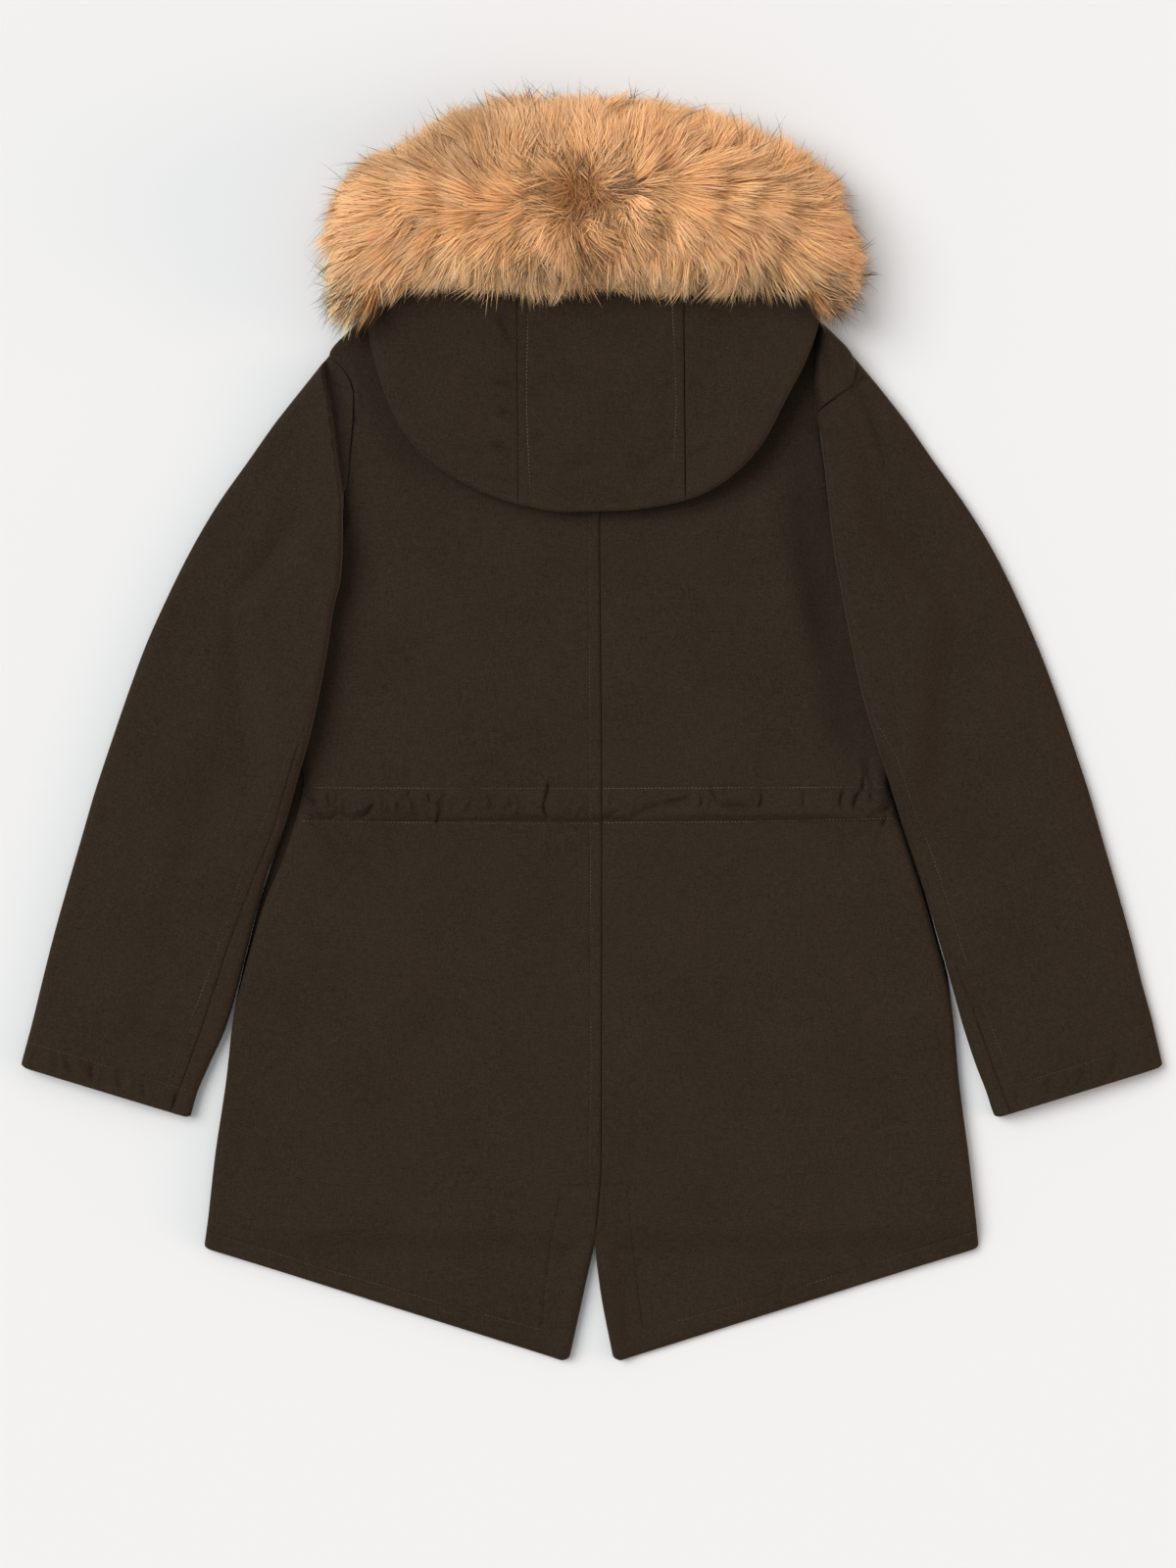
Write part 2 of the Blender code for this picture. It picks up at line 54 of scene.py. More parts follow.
# Driving dimensions
WALL = 5.8
SEAM_GAP = 0.3
ARMHOLE_GAP = 0.35
ARMHOLE_LAP = 1.5  # the sleeve's upper layer laps over the body's rounded edge at the armhole
ARMHOLE_ROUND = 4.0
BACK_UNDERSIDE = WALL + SEAM_GAP
BACK_LOFT = 6.0
EDGE_ROUND = 7.0
SLEEVE_VOID = 0.5
SLEEVE_HEIGHT = 2 * WALL + SLEEVE_VOID
SLEEVE_CROWN = 1.8
SLEEVE_RAMP = 30.0
RAMP_CLEAR = 14.0
LIE_ON_BACK = BACK_UNDERSIDE + BACK_LOFT + 0.5
HOOD_UNDERSIDE = 14.5
HOOD_WALL = 4.2
HOOD_HEIGHT = 10.8
HOOD_PUFF = 1.5
HOOD_ROUND = 9.0
HOOD_EDGE_Y = 339.0
HOOD_NECK_Y = 331.0
FLAP_HALF_WIDTH = 30.0
FLAP_THICKNESS = 2.0
CASING_TOP_Y = -46.0
CASING_FOOT_Y = -72.0
CASING_PUFF = 3.0
FELL_WIDTH = 8.4
FELL_RAISE = 0.6
TAIL_RAMP = 24.0
LEAST_WALL = 0.8
HEM_CORNER = 5.0
CUFF_CORNER = 3.0
FRONT_TOP_Y = (336, 334)  # at the side and at the centre
FRONT_LENGTH = 715.0
STRIP_THICKNESS = 1.6  # of a front where it reaches beyond the back
FLAP_ROUND = 2.5
SEAM_SINK = 1.3  # how deep a seam lies below the cloth beside it
VENT_EDGE_RAISE = 4.5
VENT_BOX_TOP_Y = -352.0
HEM_TURN = 22.0
BELOW_CASING_Y = -85.0
SKIRT_FOOT_Y = -370.0

# Fineness of the cloth's surface
BACK_ROW_STEP = 5.6
BACK_COLUMNS = 176
FRONT_ROW_STEP = 9.0
SLEEVE_ROW_STEP = 3.8
SLEEVE_COLUMNS = 56
SLEEVE_COLUMNS_BENEATH = 22
HOOD_ROWS = 57
HOOD_ROWS_BENEATH = 13
HOOD_ROWS_ROUND = 13
FINE_ROW_STEP = 1.4
SHARP_EDGE = 50  # degrees
COARSER = 4  # a hidden underside has this many times fewer rows and columns

# The body's side edges, from the neck points down: shoulder, armhole seam, side seam.
SIDES = (
    # y, left x, right x
    (336, -94, 94),
    (326, -140, 138),
    (317, -175, 172),
    (305, -191, 187.5),
    (288, -203.5, 202),
    (279, -195, 204),
    (267, -188, 203.5),
    (257, -186, 192),
    (241, -186.5, 175.6),
    (226, -187.5, 176.8),
    (211, -189, 179.2),
    (194, -190, 181.6),
    (181, -191.5, 183.5),
    (162, -191.5, 187.2),
    (139, -203, 205),
    (116, -222, 226),
    (94, -238, 243),
    (33, -231, 236),
    (-20, -225, 231),
    (-43, -223, 229),
    (-58, -226, 233),
    (-77, -231, 239),
    (-104, -240, 247.5),
    (-134, -253, 257.5),
    (-165, -262.5, 266),
    (-190, -269.5, 273),
    (-226, -278, 280),
    (-271, -283, 284),
    (-332, -292, 292),
    (-385, -298, 298),
    (-404, -301, 300),
)

# The centre back seam and, below its end, the two edges of the vent.
CENTRE = (
    # y, left half x, right half x
    (336, 6, 6),
    (159, 6, 6),
    (-58, 7.5, 7.5),
    (-340, 7, 7),
    (-380, 4, 4),
    (-397, 2.3, 2.3),
    (-430, -4.5, 5.5),
    (-492, -18, 17),
)
VENT_TOP_Y = -397.0

# The grain of the back: each row joins a height at the side to a height at the centre.
BACK_ROWS = (
    # side y, centre y
    (336, 334),
    (326, 326),
    (181, 180),
    (94, 94),
    (-20, -18),
    (-40, -40),
    (-79, -79),
    (-226, -226),
    (-310, -320),
    (-381, -384),
    (-388, -399),
    (-394, -430),
    (-399.5, -468),
    (-402, -481),
    (-404, -490),
)
FRONT_HEM = (-381, -384)
# The fronts are not drawn in at the waist, so they reach beyond the back beneath the sleeves.
FRONT_BEYOND_BACK = (
    # y, left, right
    (336, 0, 0),
    (222, 0, 0),
    (214, 0, 18),
    (205, 0, 26),
    (190, 0, 27),
    (178, 10, 25),
    (169, 19, 24),
    (161, 25, 24),
    (150, 20, 20),
    (138, 9, 8),
    (120, 0, 0),
    (38, 0, 0),
    (26, 12, 0),
    (12, 16, 3),
    (0, 21, 16),
    (-12, 26, 21),
    (-38, 28, 23),
    (-52, 25, 15),
    (-64, 21, 7),
    (-77, 11, 4.5),
    (-90, 8.5, 3.4),
    (-104, 7.5, 2.8),
    (-134, 4.5, 2.4),
    (-165, 2.6, 2.2),
    (-190, 1.6, 2.4),
    (-208, 1, 1),
    (-230, 0, 0),
    (-404, 0, 0),
)

# Stations of a sleeve from its armhole to its cuff: the outer fold and the inner fold in plan.
LEFT_SLEEVE = (
    # outer x, outer y, inner x, inner y
    (-224, 263, -193.5, 181),
    (-244, 238, -192.6, 162),
    (-266, 207, -192.5, 140),
    (-290, 173, -194, 116),
    (-310, 139, -200, 90),
    (-329, 101, -204.5, 59),
    (-346, 63, -210.5, 27),
    (-360, 25, -218, -7),
    (-373, -13, -228, -42),
    (-385.5, -51, -238.6, -78),
    (-396.5, -89, -252, -115),
    (-407.5, -127, -262.5, -153),
    (-418, -165, -272.5, -194),
    (-426.5, -199, -283.5, -232),
    (-433, -226, -296, -260),
    (-437.5, -243, -305.5, -282),
    (-441, -256, -309.5, -296),
    (-442.5, -262, -311, -302),
)
RIGHT_SLEEVE = (
    (223, 265, 176.6, 226),
    (243, 238, 179.4, 206),
    (266, 205, 182.8, 173),
    (289, 173, 186.8, 139),
    (310, 139, 193, 104),
    (329, 101, 199.5, 70),
    (345.5, 63, 207.5, 32),
    (360, 25, 218.8, -8),
    (373, -13, 230.8, -45),
    (385.5, -51, 243, -82),
    (396.5, -89, 255, -118),
    (407.5, -127, 266, -155),
    (418, -165, 277.5, -195),
    (426.5, -199, 287.5, -231),
    (434, -226, 297, -260),
    (438, -243, 305.5, -282),
    (441, -256, 310, -296),
    (442.5, -262, 312.5, -302),
)
# The first station of each sleeve follows the armhole seam, between these heights.
ARMHOLE = {"left": (288.4, 183.0), "right": (288.4, 228.0)}
# How far the sleeve's inner fold is lifted on to the back.
LIFT = (
    # y, left lift, right lift
    (300, 0, 0),
    (230, 0, 0),
    (206, 0, 5.0),
    (183, 0, LIE_ON_BACK),
    (162, 6.0, LIE_ON_BACK),
    (142, LIE_ON_BACK, LIE_ON_BACK),
    (-38, LIE_ON_BACK, LIE_ON_BACK),
    (-60, 6.0, 6.0),
    (-90, 0, 0),
    (-310, 0, 0),
)

# The bottom fold of the hood, from its left end to its right end, and the edge above each point.
HOOD_FOLD = (
    # fold x, fold y, edge x
    (-175, 331, -176),
    (-172, 303, -168),
    (-166, 277, -158),
    (-153, 242, -142),
    (-132, 213, -118),
    (-102, 191, -92),
    (-57, 173, -58),
    (-20, 167, -20),
    (24, 168, 24),
    (72.5, 176, 71),
    (99, 188, 98),
    (129, 216, 122),
    (150, 254, 146),
    (166, 285, 162),
    (174, 308, 172),
    (179, 331, 180),
)
HOOD_FOLD_LINE = [row[:2] for row in HOOD_FOLD]
HOOD_SEAMS = (6, 9)  # the rows of the fold at which the two seams meet it

# The fur trim: its far and near edges in plan and its height, from left to right.
FUR_OUTLINE = (
    # x, far y, near y, height
    (-210, 392, 352, 22),
    (-204, 408, 322, 40),
    (-196, 422, 311, 50),
    (-188, 432, 309, 57),
    (-181, 441, 322, 63),
    (-178.5, 444, 326, 65),
    (-140, 462, 329, 74),
    (-92, 485, 330, 80),
    (-30, 491, 329, 84),
    (32, 490, 329, 84),
    (92, 479, 330, 80),
    (145, 461, 328, 72),
    (182.5, 437, 325, 60),
    (185, 434, 320, 58),
    (192, 422, 309, 52),
    (200, 408, 313, 44),
    (207, 390, 330, 28),
    (211, 376, 350, 18),
)
FUR_FOOT = 4.8  # height above what it lies on at which the skin's edge starts

# Gathers of the waist casing.
CASING_CREASES = (
    # from x, from y, to x, to y, bow, half width, rise
    (-222, -46.5, -211.5, -60, -1.5, 1.9, -1.5),
    (-225, -57, -208, -64.5, -3, 1.9, 1),
    (-208, -64.5, -197.5, -62.5, 1, 1.8, 0.8),
    (-222.5, -61.5, -205, -70, -3, 1.8, -1.1),
    (-205, -70, -195.5, -65.5, -1, 1.8, -0.9),
    (-195.5, -65.5, -184.5, -70, -1, 2, -0.9),
    (-184.5, -70, -169.5, -58.5, -3, 2.2, -1.1),
    (-185.5, -64.5, -169.5, -56, -2, 1.6, 0.9),
    (-194.5, -54.5, -194.5, -64, 0.5, 1.4, 0.9),
    (-200, -48.5, -200, -58.5, 0.5, 1.5, 0.7),
    (-205, -50, -202, -61.5, 1, 2.2, -0.6),
    (-168.5, -48.5, -164, -61.5, 1, 2, 0.5),
    (-152, -54, -152, -67.5, -1, 1.5, 0.9),
    (-146.5, -49.5, -150.5, -55.5, 0.5, 1.6, 0.5),
    (-141.5, -47, -141.5, -54.5, 0, 1.6, -0.6),
    (-141.5, -54.5, -140.5, -66, 0, 1.5, 1),
    (-140.5, -66, -134.5, -64, 0, 1.5, 0.7),
    (-127.5, -49.5, -124, -58, 0.5, 1.6, -0.7),
    (-121.5, -54, -121.5, -72, 0.5, 1.4, 1.5),
    (-120, -64.5, -120.5, -75, 0, 1.4, -0.9),
    (-120, -57, -114, -49.5, 0.5, 1.5, 0.8),
    (-111, -54.5, -110, -63, 0, 2, 0.6),
    (-100.5, -64.5, -94, -54.5, 0.5, 1.7, 0.8),
    (-81, -54, -81.5, -63, 0.5, 1.6, 0.9),
    (-71.5, -63, -64, -57, 1, 1.8, 0.6),
    (-58.5, -52.5, -59.5, -66, 0.5, 1.7, 0.8),
    (-53, -60, -51.5, -68.5, 1, 2.4, -0.5),
    (-33.5, -40.5, -37, -58.5, 1, 1.5, -1),
    (-37, -57, -33.5, -70, -1.5, 1.5, -1),
    (-14.5, -72, -7, -56, 1, 1.7, 0.7),
    (0, -63, 0, -72, 0, 1.5, 0.6),
    (10, -70.5, 23, -64, 1, 2, -0.8),
    (12, -49.5, 11.5, -60, 0.5, 1.8, 0.5),
    (29.5, -65.5, 33.5, -57, 0.5, 1.8, 0.6),
    (30.5, -69, 54.5, -60, 1, 2.6, -0.8),
    (54.5, -61, 79, -54, 1, 2.6, -0.9),
    (35, -58, 73, -52.5, 1, 2.4, 0.6),
    (82, -51, 81.5, -61, 0.5, 1.7, 0.7),
    (89.5, -54.5, 86.5, -64.5, 0.5, 1.7, 0.7),
    (91, -45.5, 97.5, -57, 0.5, 1.7, -0.8),
    (93.5, -58, 124.5, -58.5, 0.5, 1.8, 0.9),
    (97.5, -63, 126, -64, 0, 2.4, -0.6),
    (128.5, -48, 127.5, -60, 1.5, 1.6, 0.9),
    (130.5, -51, 129, -61.5, 0.5, 1.5, -0.9),
    (102.5, -44, 103.5, -52.5, 0, 1.8, -0.5),
    (163.5, -48, 163.5, -61.5, 0.5, 1.8, -0.6),
    (195.5, -47, 193, -63, -1.5, 1.7, -0.9),
    (210.5, -39, 210, -49.5, 0, 1.7, -0.9),
    (210, -48, 203, -63, -2.5, 1.7, -1.1),
    (214.5, -51, 218, -56, 0.5, 2, -0.8),
    (213.5, -67.5, 225.5, -57, 1, 1.8, 0.8),
    (222, -66, 235.5, -61, 1, 1.9, -1.1),
    (225.5, -76, 229, -66, 0.5, 1.9, -0.8),
)
# The raised fold of each sleeve where it lies beside or on the back.
SLEEVE_FOLD = {
    "left": ((-207.5, 273), (-203.3, 254), (-198.4, 214), (-193, 173), (-192.3, 144), (-193, 113),
             (-196, 93), (-204.4, 48), (-218, -7), (-228, -42)),
    "right": ((173.8, 296), (172.5, 263), (176.2, 240), (178.6, 223), (182, 181), (185.4, 143),
              (191.5, 103), (197.3, 68), (207.5, 32), (218.8, -8)),
}
# The back sinks beside those folds and round the hood's lower fold.
SUNK_DEEPEST = 5.0
SUNK_BESIDE = {"left": (5.0, 25.0), "right": (5.0, 23.0)}  # depth, reach
SUNK_ROUND_HOOD = (
    # x, depth, reach
    (-190, 4.0, 18.0),
    (-150, 3.6, 18.0),
    (-100, 2.6, 18.0),
    (0, 4.0, 13.0),
    (90, 5.0, 16.0),
    (130, 5.0, 24.0),
    (190, 5.0, 24.0),
)
CAP_RAISE = 9.0  # how far the left sleeve's cap stands above the strip beside the armhole seam
SHOULDER_RAISE = 7.5  # how far the right shoulder's cloth stands up at its fold
FOLD_RAISE = 6.0  # how far each sleeve's inner fold stands up where it lies on the back
# The hood's bottom fold stands off the back at its right, and falls away at its left.
HOOD_EDGE = (
    # x, lift of both layers, fall of the upper one
    (-190, 0, 2.2),
    (-120, 0, 3.6),
    (-60, 0, 4.0),
    (0, 1.0, 3.6),
    (60, 3.0, 2.4),
    (100, 5.5, 1.0),
    (130, 7.5, 0.5),
    (190, 8.0, 0.5),
)
# Broad swells of the back before it sinks to the right sleeve's fold.
SWELLS = (
    (138, 190, 158, 60, 0, 17.0, 1.8),
    (150, 110, 182, -10, 0, 15.0, 1.9),
)

CREASE_DEPTH = 1.7
CASING_DEEPER = 2.0  # the creases of the casing and of the hood are this many times deeper
HOOD_DEEPER = 2.4
HOOD_SEAM_SINK = {"left": 0.7, "right": 1.3}
RIGHT_EDGE_DROP = 2.6  # how far the right sleeve's outer edge has settled

# Creases of the cloth. A trough has a negative rise; bow is how far its middle stands aside.
BACK_CREASES = (
    # from x, from y, to x, to y, bow, half width, rise
    (-217.5, -70.5, -190, -108.5, 2, 3, -1.3),
    (-211.5, -72, -182.5, -107, 2, 3.6, 0.8),
    (-199, -72, -162.5, -124, 2, 2.4, -1),
    (-167, -73.5, -145, -111.5, 1.5, 2.2, -0.8),
    (-125.5, -73, -121, -89, 0.5, 2.2, -0.7),
    (-105.5, -90.5, -102, -122.5, 1, 3.2, -0.45),
    (-40.5, -73.5, -48.5, -107, 1, 3.2, -0.5),
    (-229.5, -116.5, -208, -145, 2, 4, -0.7),
    (-158, -72, -152, -87.5, 1, 2.4, 0.5),
    (-131.5, -25, -111.5, -44, 1, 1.8, -0.9),
    (-144.5, -29.5, -140, -45, 0.5, 2.2, -0.5),
    (-68.5, -16, -61.5, -31, 0.5, 2.4, -0.5),
    (-163.5, -32.5, -158, -45, 0.5, 2, 0.5),
    (211.5, -22, 217.5, -48, 1, 3.2, -0.9),
    (205, -28, 210, -46.5, 1, 2.6, 0.5),
    (192.5, -73.5, 195.5, -108.5, 1, 3, -0.6),
    (225.5, -72, 219.5, -95, 1, 3.4, -0.8),
    (127.5, -28, 128.5, -45.5, 0.5, 2.4, -0.6),
    (80, -73.5, 82, -90.5, 0.5, 2.6, -0.4),
    (-186, 240, -178, 233.5, 0.5, 2.2, -1.2),
    (-184, 262, -179, 243, 0.5, 2.2, 0.8),
    (181, 304, 195, 268, 1, 2.8, 1.4),
    (175, 297, 187, 262, 1, 3.2, -1.0),
    (190, 299, 199, 277, 1, 2.4, -1.0),
    (-150, 120, -206, 20, 12, 13.0, 0.8),
    (-166, 60, -196, -20, 8, 9.0, -0.7),
    (150, 150, 196, 40, -12, 13.0, 0.9),
    (160, 60, 205, -10, -8, 9.0, -0.7),
    (-60, 130, -80, 0, 14, 18.0, 0.5),
    (70, 120, 95, 10, -14, 18.0, 0.5),
    (-120, -130, -150, -330, 12, 15.0, -0.7),
    (-60, -140, -52, -300, -8, 16.0, 0.6),
    (60, -130, 52, -310, 8, 16.0, 0.6),
    (115, -120, 150, -330, -12, 14.0, -0.7),
    (215, -110, 250, -300, -10, 12.0, -0.8),
    (-215, -130, -250, -320, 10, 12.0, -0.8),
    (33, -282, 33, -348, 1, 3.0, -0.5),
    (-216, -392, -210, -415, 1, 3.0, -0.8),
    (-187, -404, -180, -424, 1, 3.0, -0.8),
    (-152, -414, -146, -434, 1, 2.6, -0.7),
    (-100, -432, -97, -448, 1, 2.6, -0.5),
    (-33, -466, -14, -466, 0, 2.4, -0.9),
    (150, -424, 144, -440, 1, 3.0, -0.5),
    (216, -402, 210, -420, 1, 3.0, -0.6),
    (2, -394, -30, -408, 2, 3.0, -0.9),
    (5, -394, 31, -410, -2, 3.0, -0.9),
    (-1, -400, -28, -396, 2, 3.4, 0.9),
    (7, -400, 28, -396, -2, 3.4, 0.9),
    (6, -392, 12, -381, 0.5, 2.4, -0.9),
    (-6, -414, -32, -426, 1, 3.6, 0.6),
    (11, -420, 34, -432, 1, 3.6, 0.6),
)
SLEEVE_CREASES = {
    "left": (
        (-216, 262, -246, 205, -6, 7.0, 0.7),
        (-232, 226, -262, 150, -8, 9.0, -0.6),
        (-204, 150, -232, 60, -8, 10.0, 0.8),
        (-300, 120, -330, 10, -10, 12.0, -0.6),
        (-250, 10, -300, -120, -12, 12.0, -0.7),
        (-340, -30, -385, -180, -10, 14.0, 0.7),
        (-300, -180, -330, -262, -5, 9.0, -0.6),
        (-372, -200, -392, -238, -3, 8.0, 0.5),
        (-431, -246, -433, -262, 0.5, 2.4, -1.1),
        (-421, -249, -418, -265, 0.5, 2.6, 1.3),
        (-408, -253, -403, -269, 0.5, 2.2, -1.4),
        (-399, -255, -393, -271, 0.5, 2.8, 1.4),
        (-388, -259, -385, -275, 0.5, 2.2, -1.6),
        (-381, -261, -385, -277, 0.5, 2.6, 1.3),
        (-368, -265, -364, -281, 0.5, 2.4, -1.3),
        (-356, -268, -359, -284, 0.5, 2.2, 1.3),
        (-349, -271, -346, -287, 0.5, 2.0, -1.4),
        (-334, -275, -330, -291, 0.5, 2.6, 1.1),
        (-322, -279, -324, -295, 0.5, 2.2, -1.3),
    ),
    "right": (
        (203, 265, 229, 198, 4, 4.2, -2.1),
        (206, 281, 248, 225, 2, 3.2, 1.3),
        (204, 265, 212, 272, 0, 1.5, -1.2),
        (190, 246, 204, 190, 3, 8.0, 0.7),
        (240, 226, 262, 150, 8, 9.0, -0.6),
        (210, 160, 236, 60, 8, 10.0, 0.8),
        (300, 120, 330, 10, 10, 12.0, -0.6),
        (256, 10, 300, -120, 12, 12.0, -0.7),
        (340, -30, 385, -180, 10, 14.0, 0.7),
        (300, -180, 330, -262, 5, 9.0, -0.6),
        (372, -200, 392, -238, 3, 8.0, 0.5),
        (429, -246, 432, -262, 0.5, 2.4, -1.1),
        (417, -250, 415, -266, 0.5, 2.6, 1.1),
        (405, -254, 401, -270, 0.5, 2.4, -1.3),
        (391, -258, 394, -274, 0.5, 2.6, 1.3),
        (380, -261, 377, -277, 0.5, 2.2, -1.1),
        (366, -265, 361, -281, 0.5, 2.8, 1.1),
        (352, -270, 354, -286, 0.5, 2.2, -1.3),
        (341, -273, 338, -289, 0.5, 2.4, 1.0),
        (327, -277, 330, -293, 0.5, 2.2, -1.1),
    ),
}
HOOD_CREASES = (
    (-73, 321.5, -61, 297, 0.5, 4.2, -1),
    (-35.5, 299.5, 61, 296.5, 2, 8, -0.7),
    (-23.5, 275, 1, 251, 2, 5.5, -0.7),
    (1, 210.5, -23.5, 194.5, 2, 5.5, -0.6),
    (29, 190, 65.5, 214.5, 3, 6.5, -0.8),
    (-79, 267.5, -59.5, 262, 1, 2.6, -0.8),
    (-73, 244, -59.5, 237, 1, 2.6, -0.8),
    (-80, 219.5, -60, 209, 1, 3, -0.9),
    (-81.5, 191.5, -60, 181.5, 1, 3.4, -0.8),
    (-48, 257.5, -36.5, 251.5, 0.5, 2.4, -0.6),
    (-48, 221, -33.5, 225.5, 0.5, 2.8, -0.6),
    (50, 260.5, 64, 263.5, 0.5, 2.6, -0.6),
    (51.5, 225, 64, 221, 0.5, 2.6, -0.6),
    (74.5, 262, 89.5, 267, 0.5, 3, -0.5),
    (74.5, 207.5, 94, 216.5, 1, 3.4, -0.6),
    (-161, 302.5, -152, 245.5, 3, 9, 0.8),
    (-124.5, 276, -102, 215, 6, 13, 0.7),
    (-10.5, 314, -3, 207.5, 4, 16, 0.6),
    (103.5, 306.5, 121.5, 245.5, 5, 13, 0.7),
    (35, 276, 45.5, 222.5, 3, 9, 0.5),
)

# Lines of sewing, drawn on the piece that each one is sewn in.
BACK_TOPSTITCH = ((-2.2, 190), (-2, 40), (-1, -120), (-0.8, -286), (-1.8, -333), (-4, -351))
CASING_ROWS = {
    "back_left": (((-216, -46.2), (-120, -46.6), (5.6, -46.8)), ((-224, -72), (-100, -73.6), (6, -73.8))),
    "back_right": (((9, -46.8), (120, -46.2), (226, -45.6)), ((9, -73.2), (120, -72.4), (234, -70))),
}
HEM_ROWS = {
    "back_left": ((-298.5, -390.2), (-259, -402), (-217, -416), (-159, -433), (-112.5, -447),
                  (-66, -459), (-40, -466)),
    "back_right": ((39, -467), (66, -459.5), (112, -447), (160, -433), (217, -415.5),
                   (260, -401.5), (298, -389.4)),
}
VENT_BOX = {
    "back_left": ((4, -352), (-24, -354), (-25, -359), (-29, -382), (-32, -398), (-36.5, -431),
                  (-39, -463)),
    "back_right": ((9, -352.4), (27, -353.5), (28.4, -372), (31.5, -400), (36, -440), (39, -465)),
}
SLEEVE_TOPSTITCH = {
    "left": ((-213, 34), (-229, -5), (-244, -48), (-257, -80), (-270.5, -113), (-289, -169),
             (-304, -210), (-317, -241), (-329, -277)),
    "right": ((216, 10), (236, -23.6), (243, -46), (248.5, -62), (258, -84), (265, -103),
              (275, -134.5), (289, -179), (303, -216), (315, -247), (327, -276)),
}
SLEEVE_SEAM = {
    "left": ((-212, 29), (-226, -12), (-241, -60), (-246, -77.5), (-264, -122), (-281, -168),
             (-303, -236), (-318, -277), (-326, -297)),
    "right": ((214, 8), (228, -32), (241, -75), (260, -119), (265, -141), (278, -176),
              (294, -214), (315, -274), (324, -297)),
}
CUFF_ROW = {
    "left": ((-437, -243), (-370, -263), (-308, -282)),
    "right": ((437, -243), (380, -260), (337, -273), (309, -281.5)),
}
HOOD_TOPSTITCH = {
    "left": ((-49, 330), (-50, 291), (-50.6, 255), (-49.4, 219), (-47.6, 176)),
    "right": ((61.7, 330), (63.8, 291), (65.2, 248), (63, 207), (61.6, 178)),
}
# How deep and how broadly each kind of sewing sinks into its cloth.
SEWN = {
    "hem": (0.9, 1.4),
    "vent": (0.9, 1.3),
    "back": (0.3, 1.4),
    "sleeve": (0.35, 1.5),
    "cuff": (0.6, 1.6),
    "hood": (0.5, 1.5),
}


# Curves and small helpers, on arrays


def track(table, column):
    """A smooth monotone curve through one column of a table, read against its first column."""
    rows = sorted(table)
    at = np.array([row[0] for row in rows], float)
    value = np.array([row[column] for row in rows], float)
    slope = np.diff(value) / np.diff(at)
    tangent = np.zeros(len(rows))
    tangent[0], tangent[-1] = slope[0], slope[-1]
    for i in range(1, len(rows) - 1):
        before, after = slope[i - 1], slope[i]
        if before * after > 0:
            tangent[i] = 2 * before * after / (before + after)

    def read(where):
        i = np.clip(np.searchsorted(at, where) - 1, 0, len(at) - 2)
        width = at[i + 1] - at[i]
        t = np.clip((where - at[i]) / width, 0.0, 1.0)
        blend = t * t * (3 - 2 * t)
        start = t * (1 - t) ** 2 * width * tangent[i]
        end = t * t * (t - 1) * width * tangent[i + 1]
        return value[i] * (1 - blend) + value[i + 1] * blend + start + end

    return read


def away_from(x, y, points):
    """Distance to a line of points."""
    return near_line(x, y, points)[0]


def between(start, end, places):
    """Values from one edge of each row to the other, at shares of the row's width."""
    return start[:, None] + (end - start)[:, None] * places


def turned(x, y, angle):
    """A direction in plan, turned by an angle."""
    cosine, sine = np.cos(angle), np.sin(angle)
    return x * cosine - y * sine, x * sine + y * cosine


def round_edge(points):
    """Angles round a folded edge, and how far in from the edge each of them lies."""
    angles = np.linspace(0, math.pi / 2, points)
    return angles, EDGE_ROUND * (1 - np.cos(angles))


def numbered(rows):
    """The rows of a table with their number as the first column."""
    return [(i, *row) for i, row in enumerate(rows)]


def ease(t):
    """From 0 to 1 with a soft start and end."""
    t = np.clip(t, 0.0, 1.0)
    return t * t * (3 - 2 * t)


def bump(distance, width):
    """1 on a line, and falling off beside it within about its width."""
    return np.exp(-((distance / width) ** 2))


def rounded(distance, reach):
    """The share of its full height that a folded edge has at a distance from the edge."""
    inside = np.clip(distance / reach, 0.0, 1.0)
    return np.sqrt(1 - (1 - inside) ** 2)


def spaced(length, step, stretches=()):
    """Even places along a length, closer in some stretches of it; their gaps count in COARSER."""
    probe = np.linspace(0, length, 2000)
    gap = np.full(probe.shape, step)
    for start, end, finer in stretches:
        gap[(probe >= start) & (probe <= end)] = finer
    count = np.concatenate([[0], np.cumsum(np.diff(probe) / gap[1:])])
    gaps = COARSER * math.ceil(count[-1] / COARSER)
    return np.interp(np.linspace(0, count[-1], gaps + 1), count, probe)


def near_line(x, y, points):
    """Distance to a line of points, the place along it that is nearest, and its length."""
    distance = np.full(np.shape(x), 1e9)
    place = np.zeros(np.shape(x))
    run = 0.0
    for (ax, ay), (bx, by) in zip(points, points[1:]):
        length = math.hypot(bx - ax, by - ay)
        ux, uy = (bx - ax) / length, (by - ay) / length
        t = np.clip((x - ax) * ux + (y - ay) * uy, 0, length)
        d = np.hypot(x - ax - t * ux, y - ay - t * uy)
        place = np.where(d < distance, run + t, place)
        distance = np.minimum(d, distance)
        run += length
    return distance, place, run


def arc(x0, y0, x1, y1, bow):
    """Points of a shallow curve whose middle stands aside by its bow."""
    length = math.hypot(x1 - x0, y1 - y0)
    aside = (-(y1 - y0) / length, (x1 - x0) / length)
    points = []
    for t in (0.0, 0.25, 0.5, 0.75, 1.0):
        out = bow * 4 * t * (1 - t)
        points.append((x0 + (x1 - x0) * t + aside[0] * out, y0 + (y1 - y0) * t + aside[1] * out))
    return points


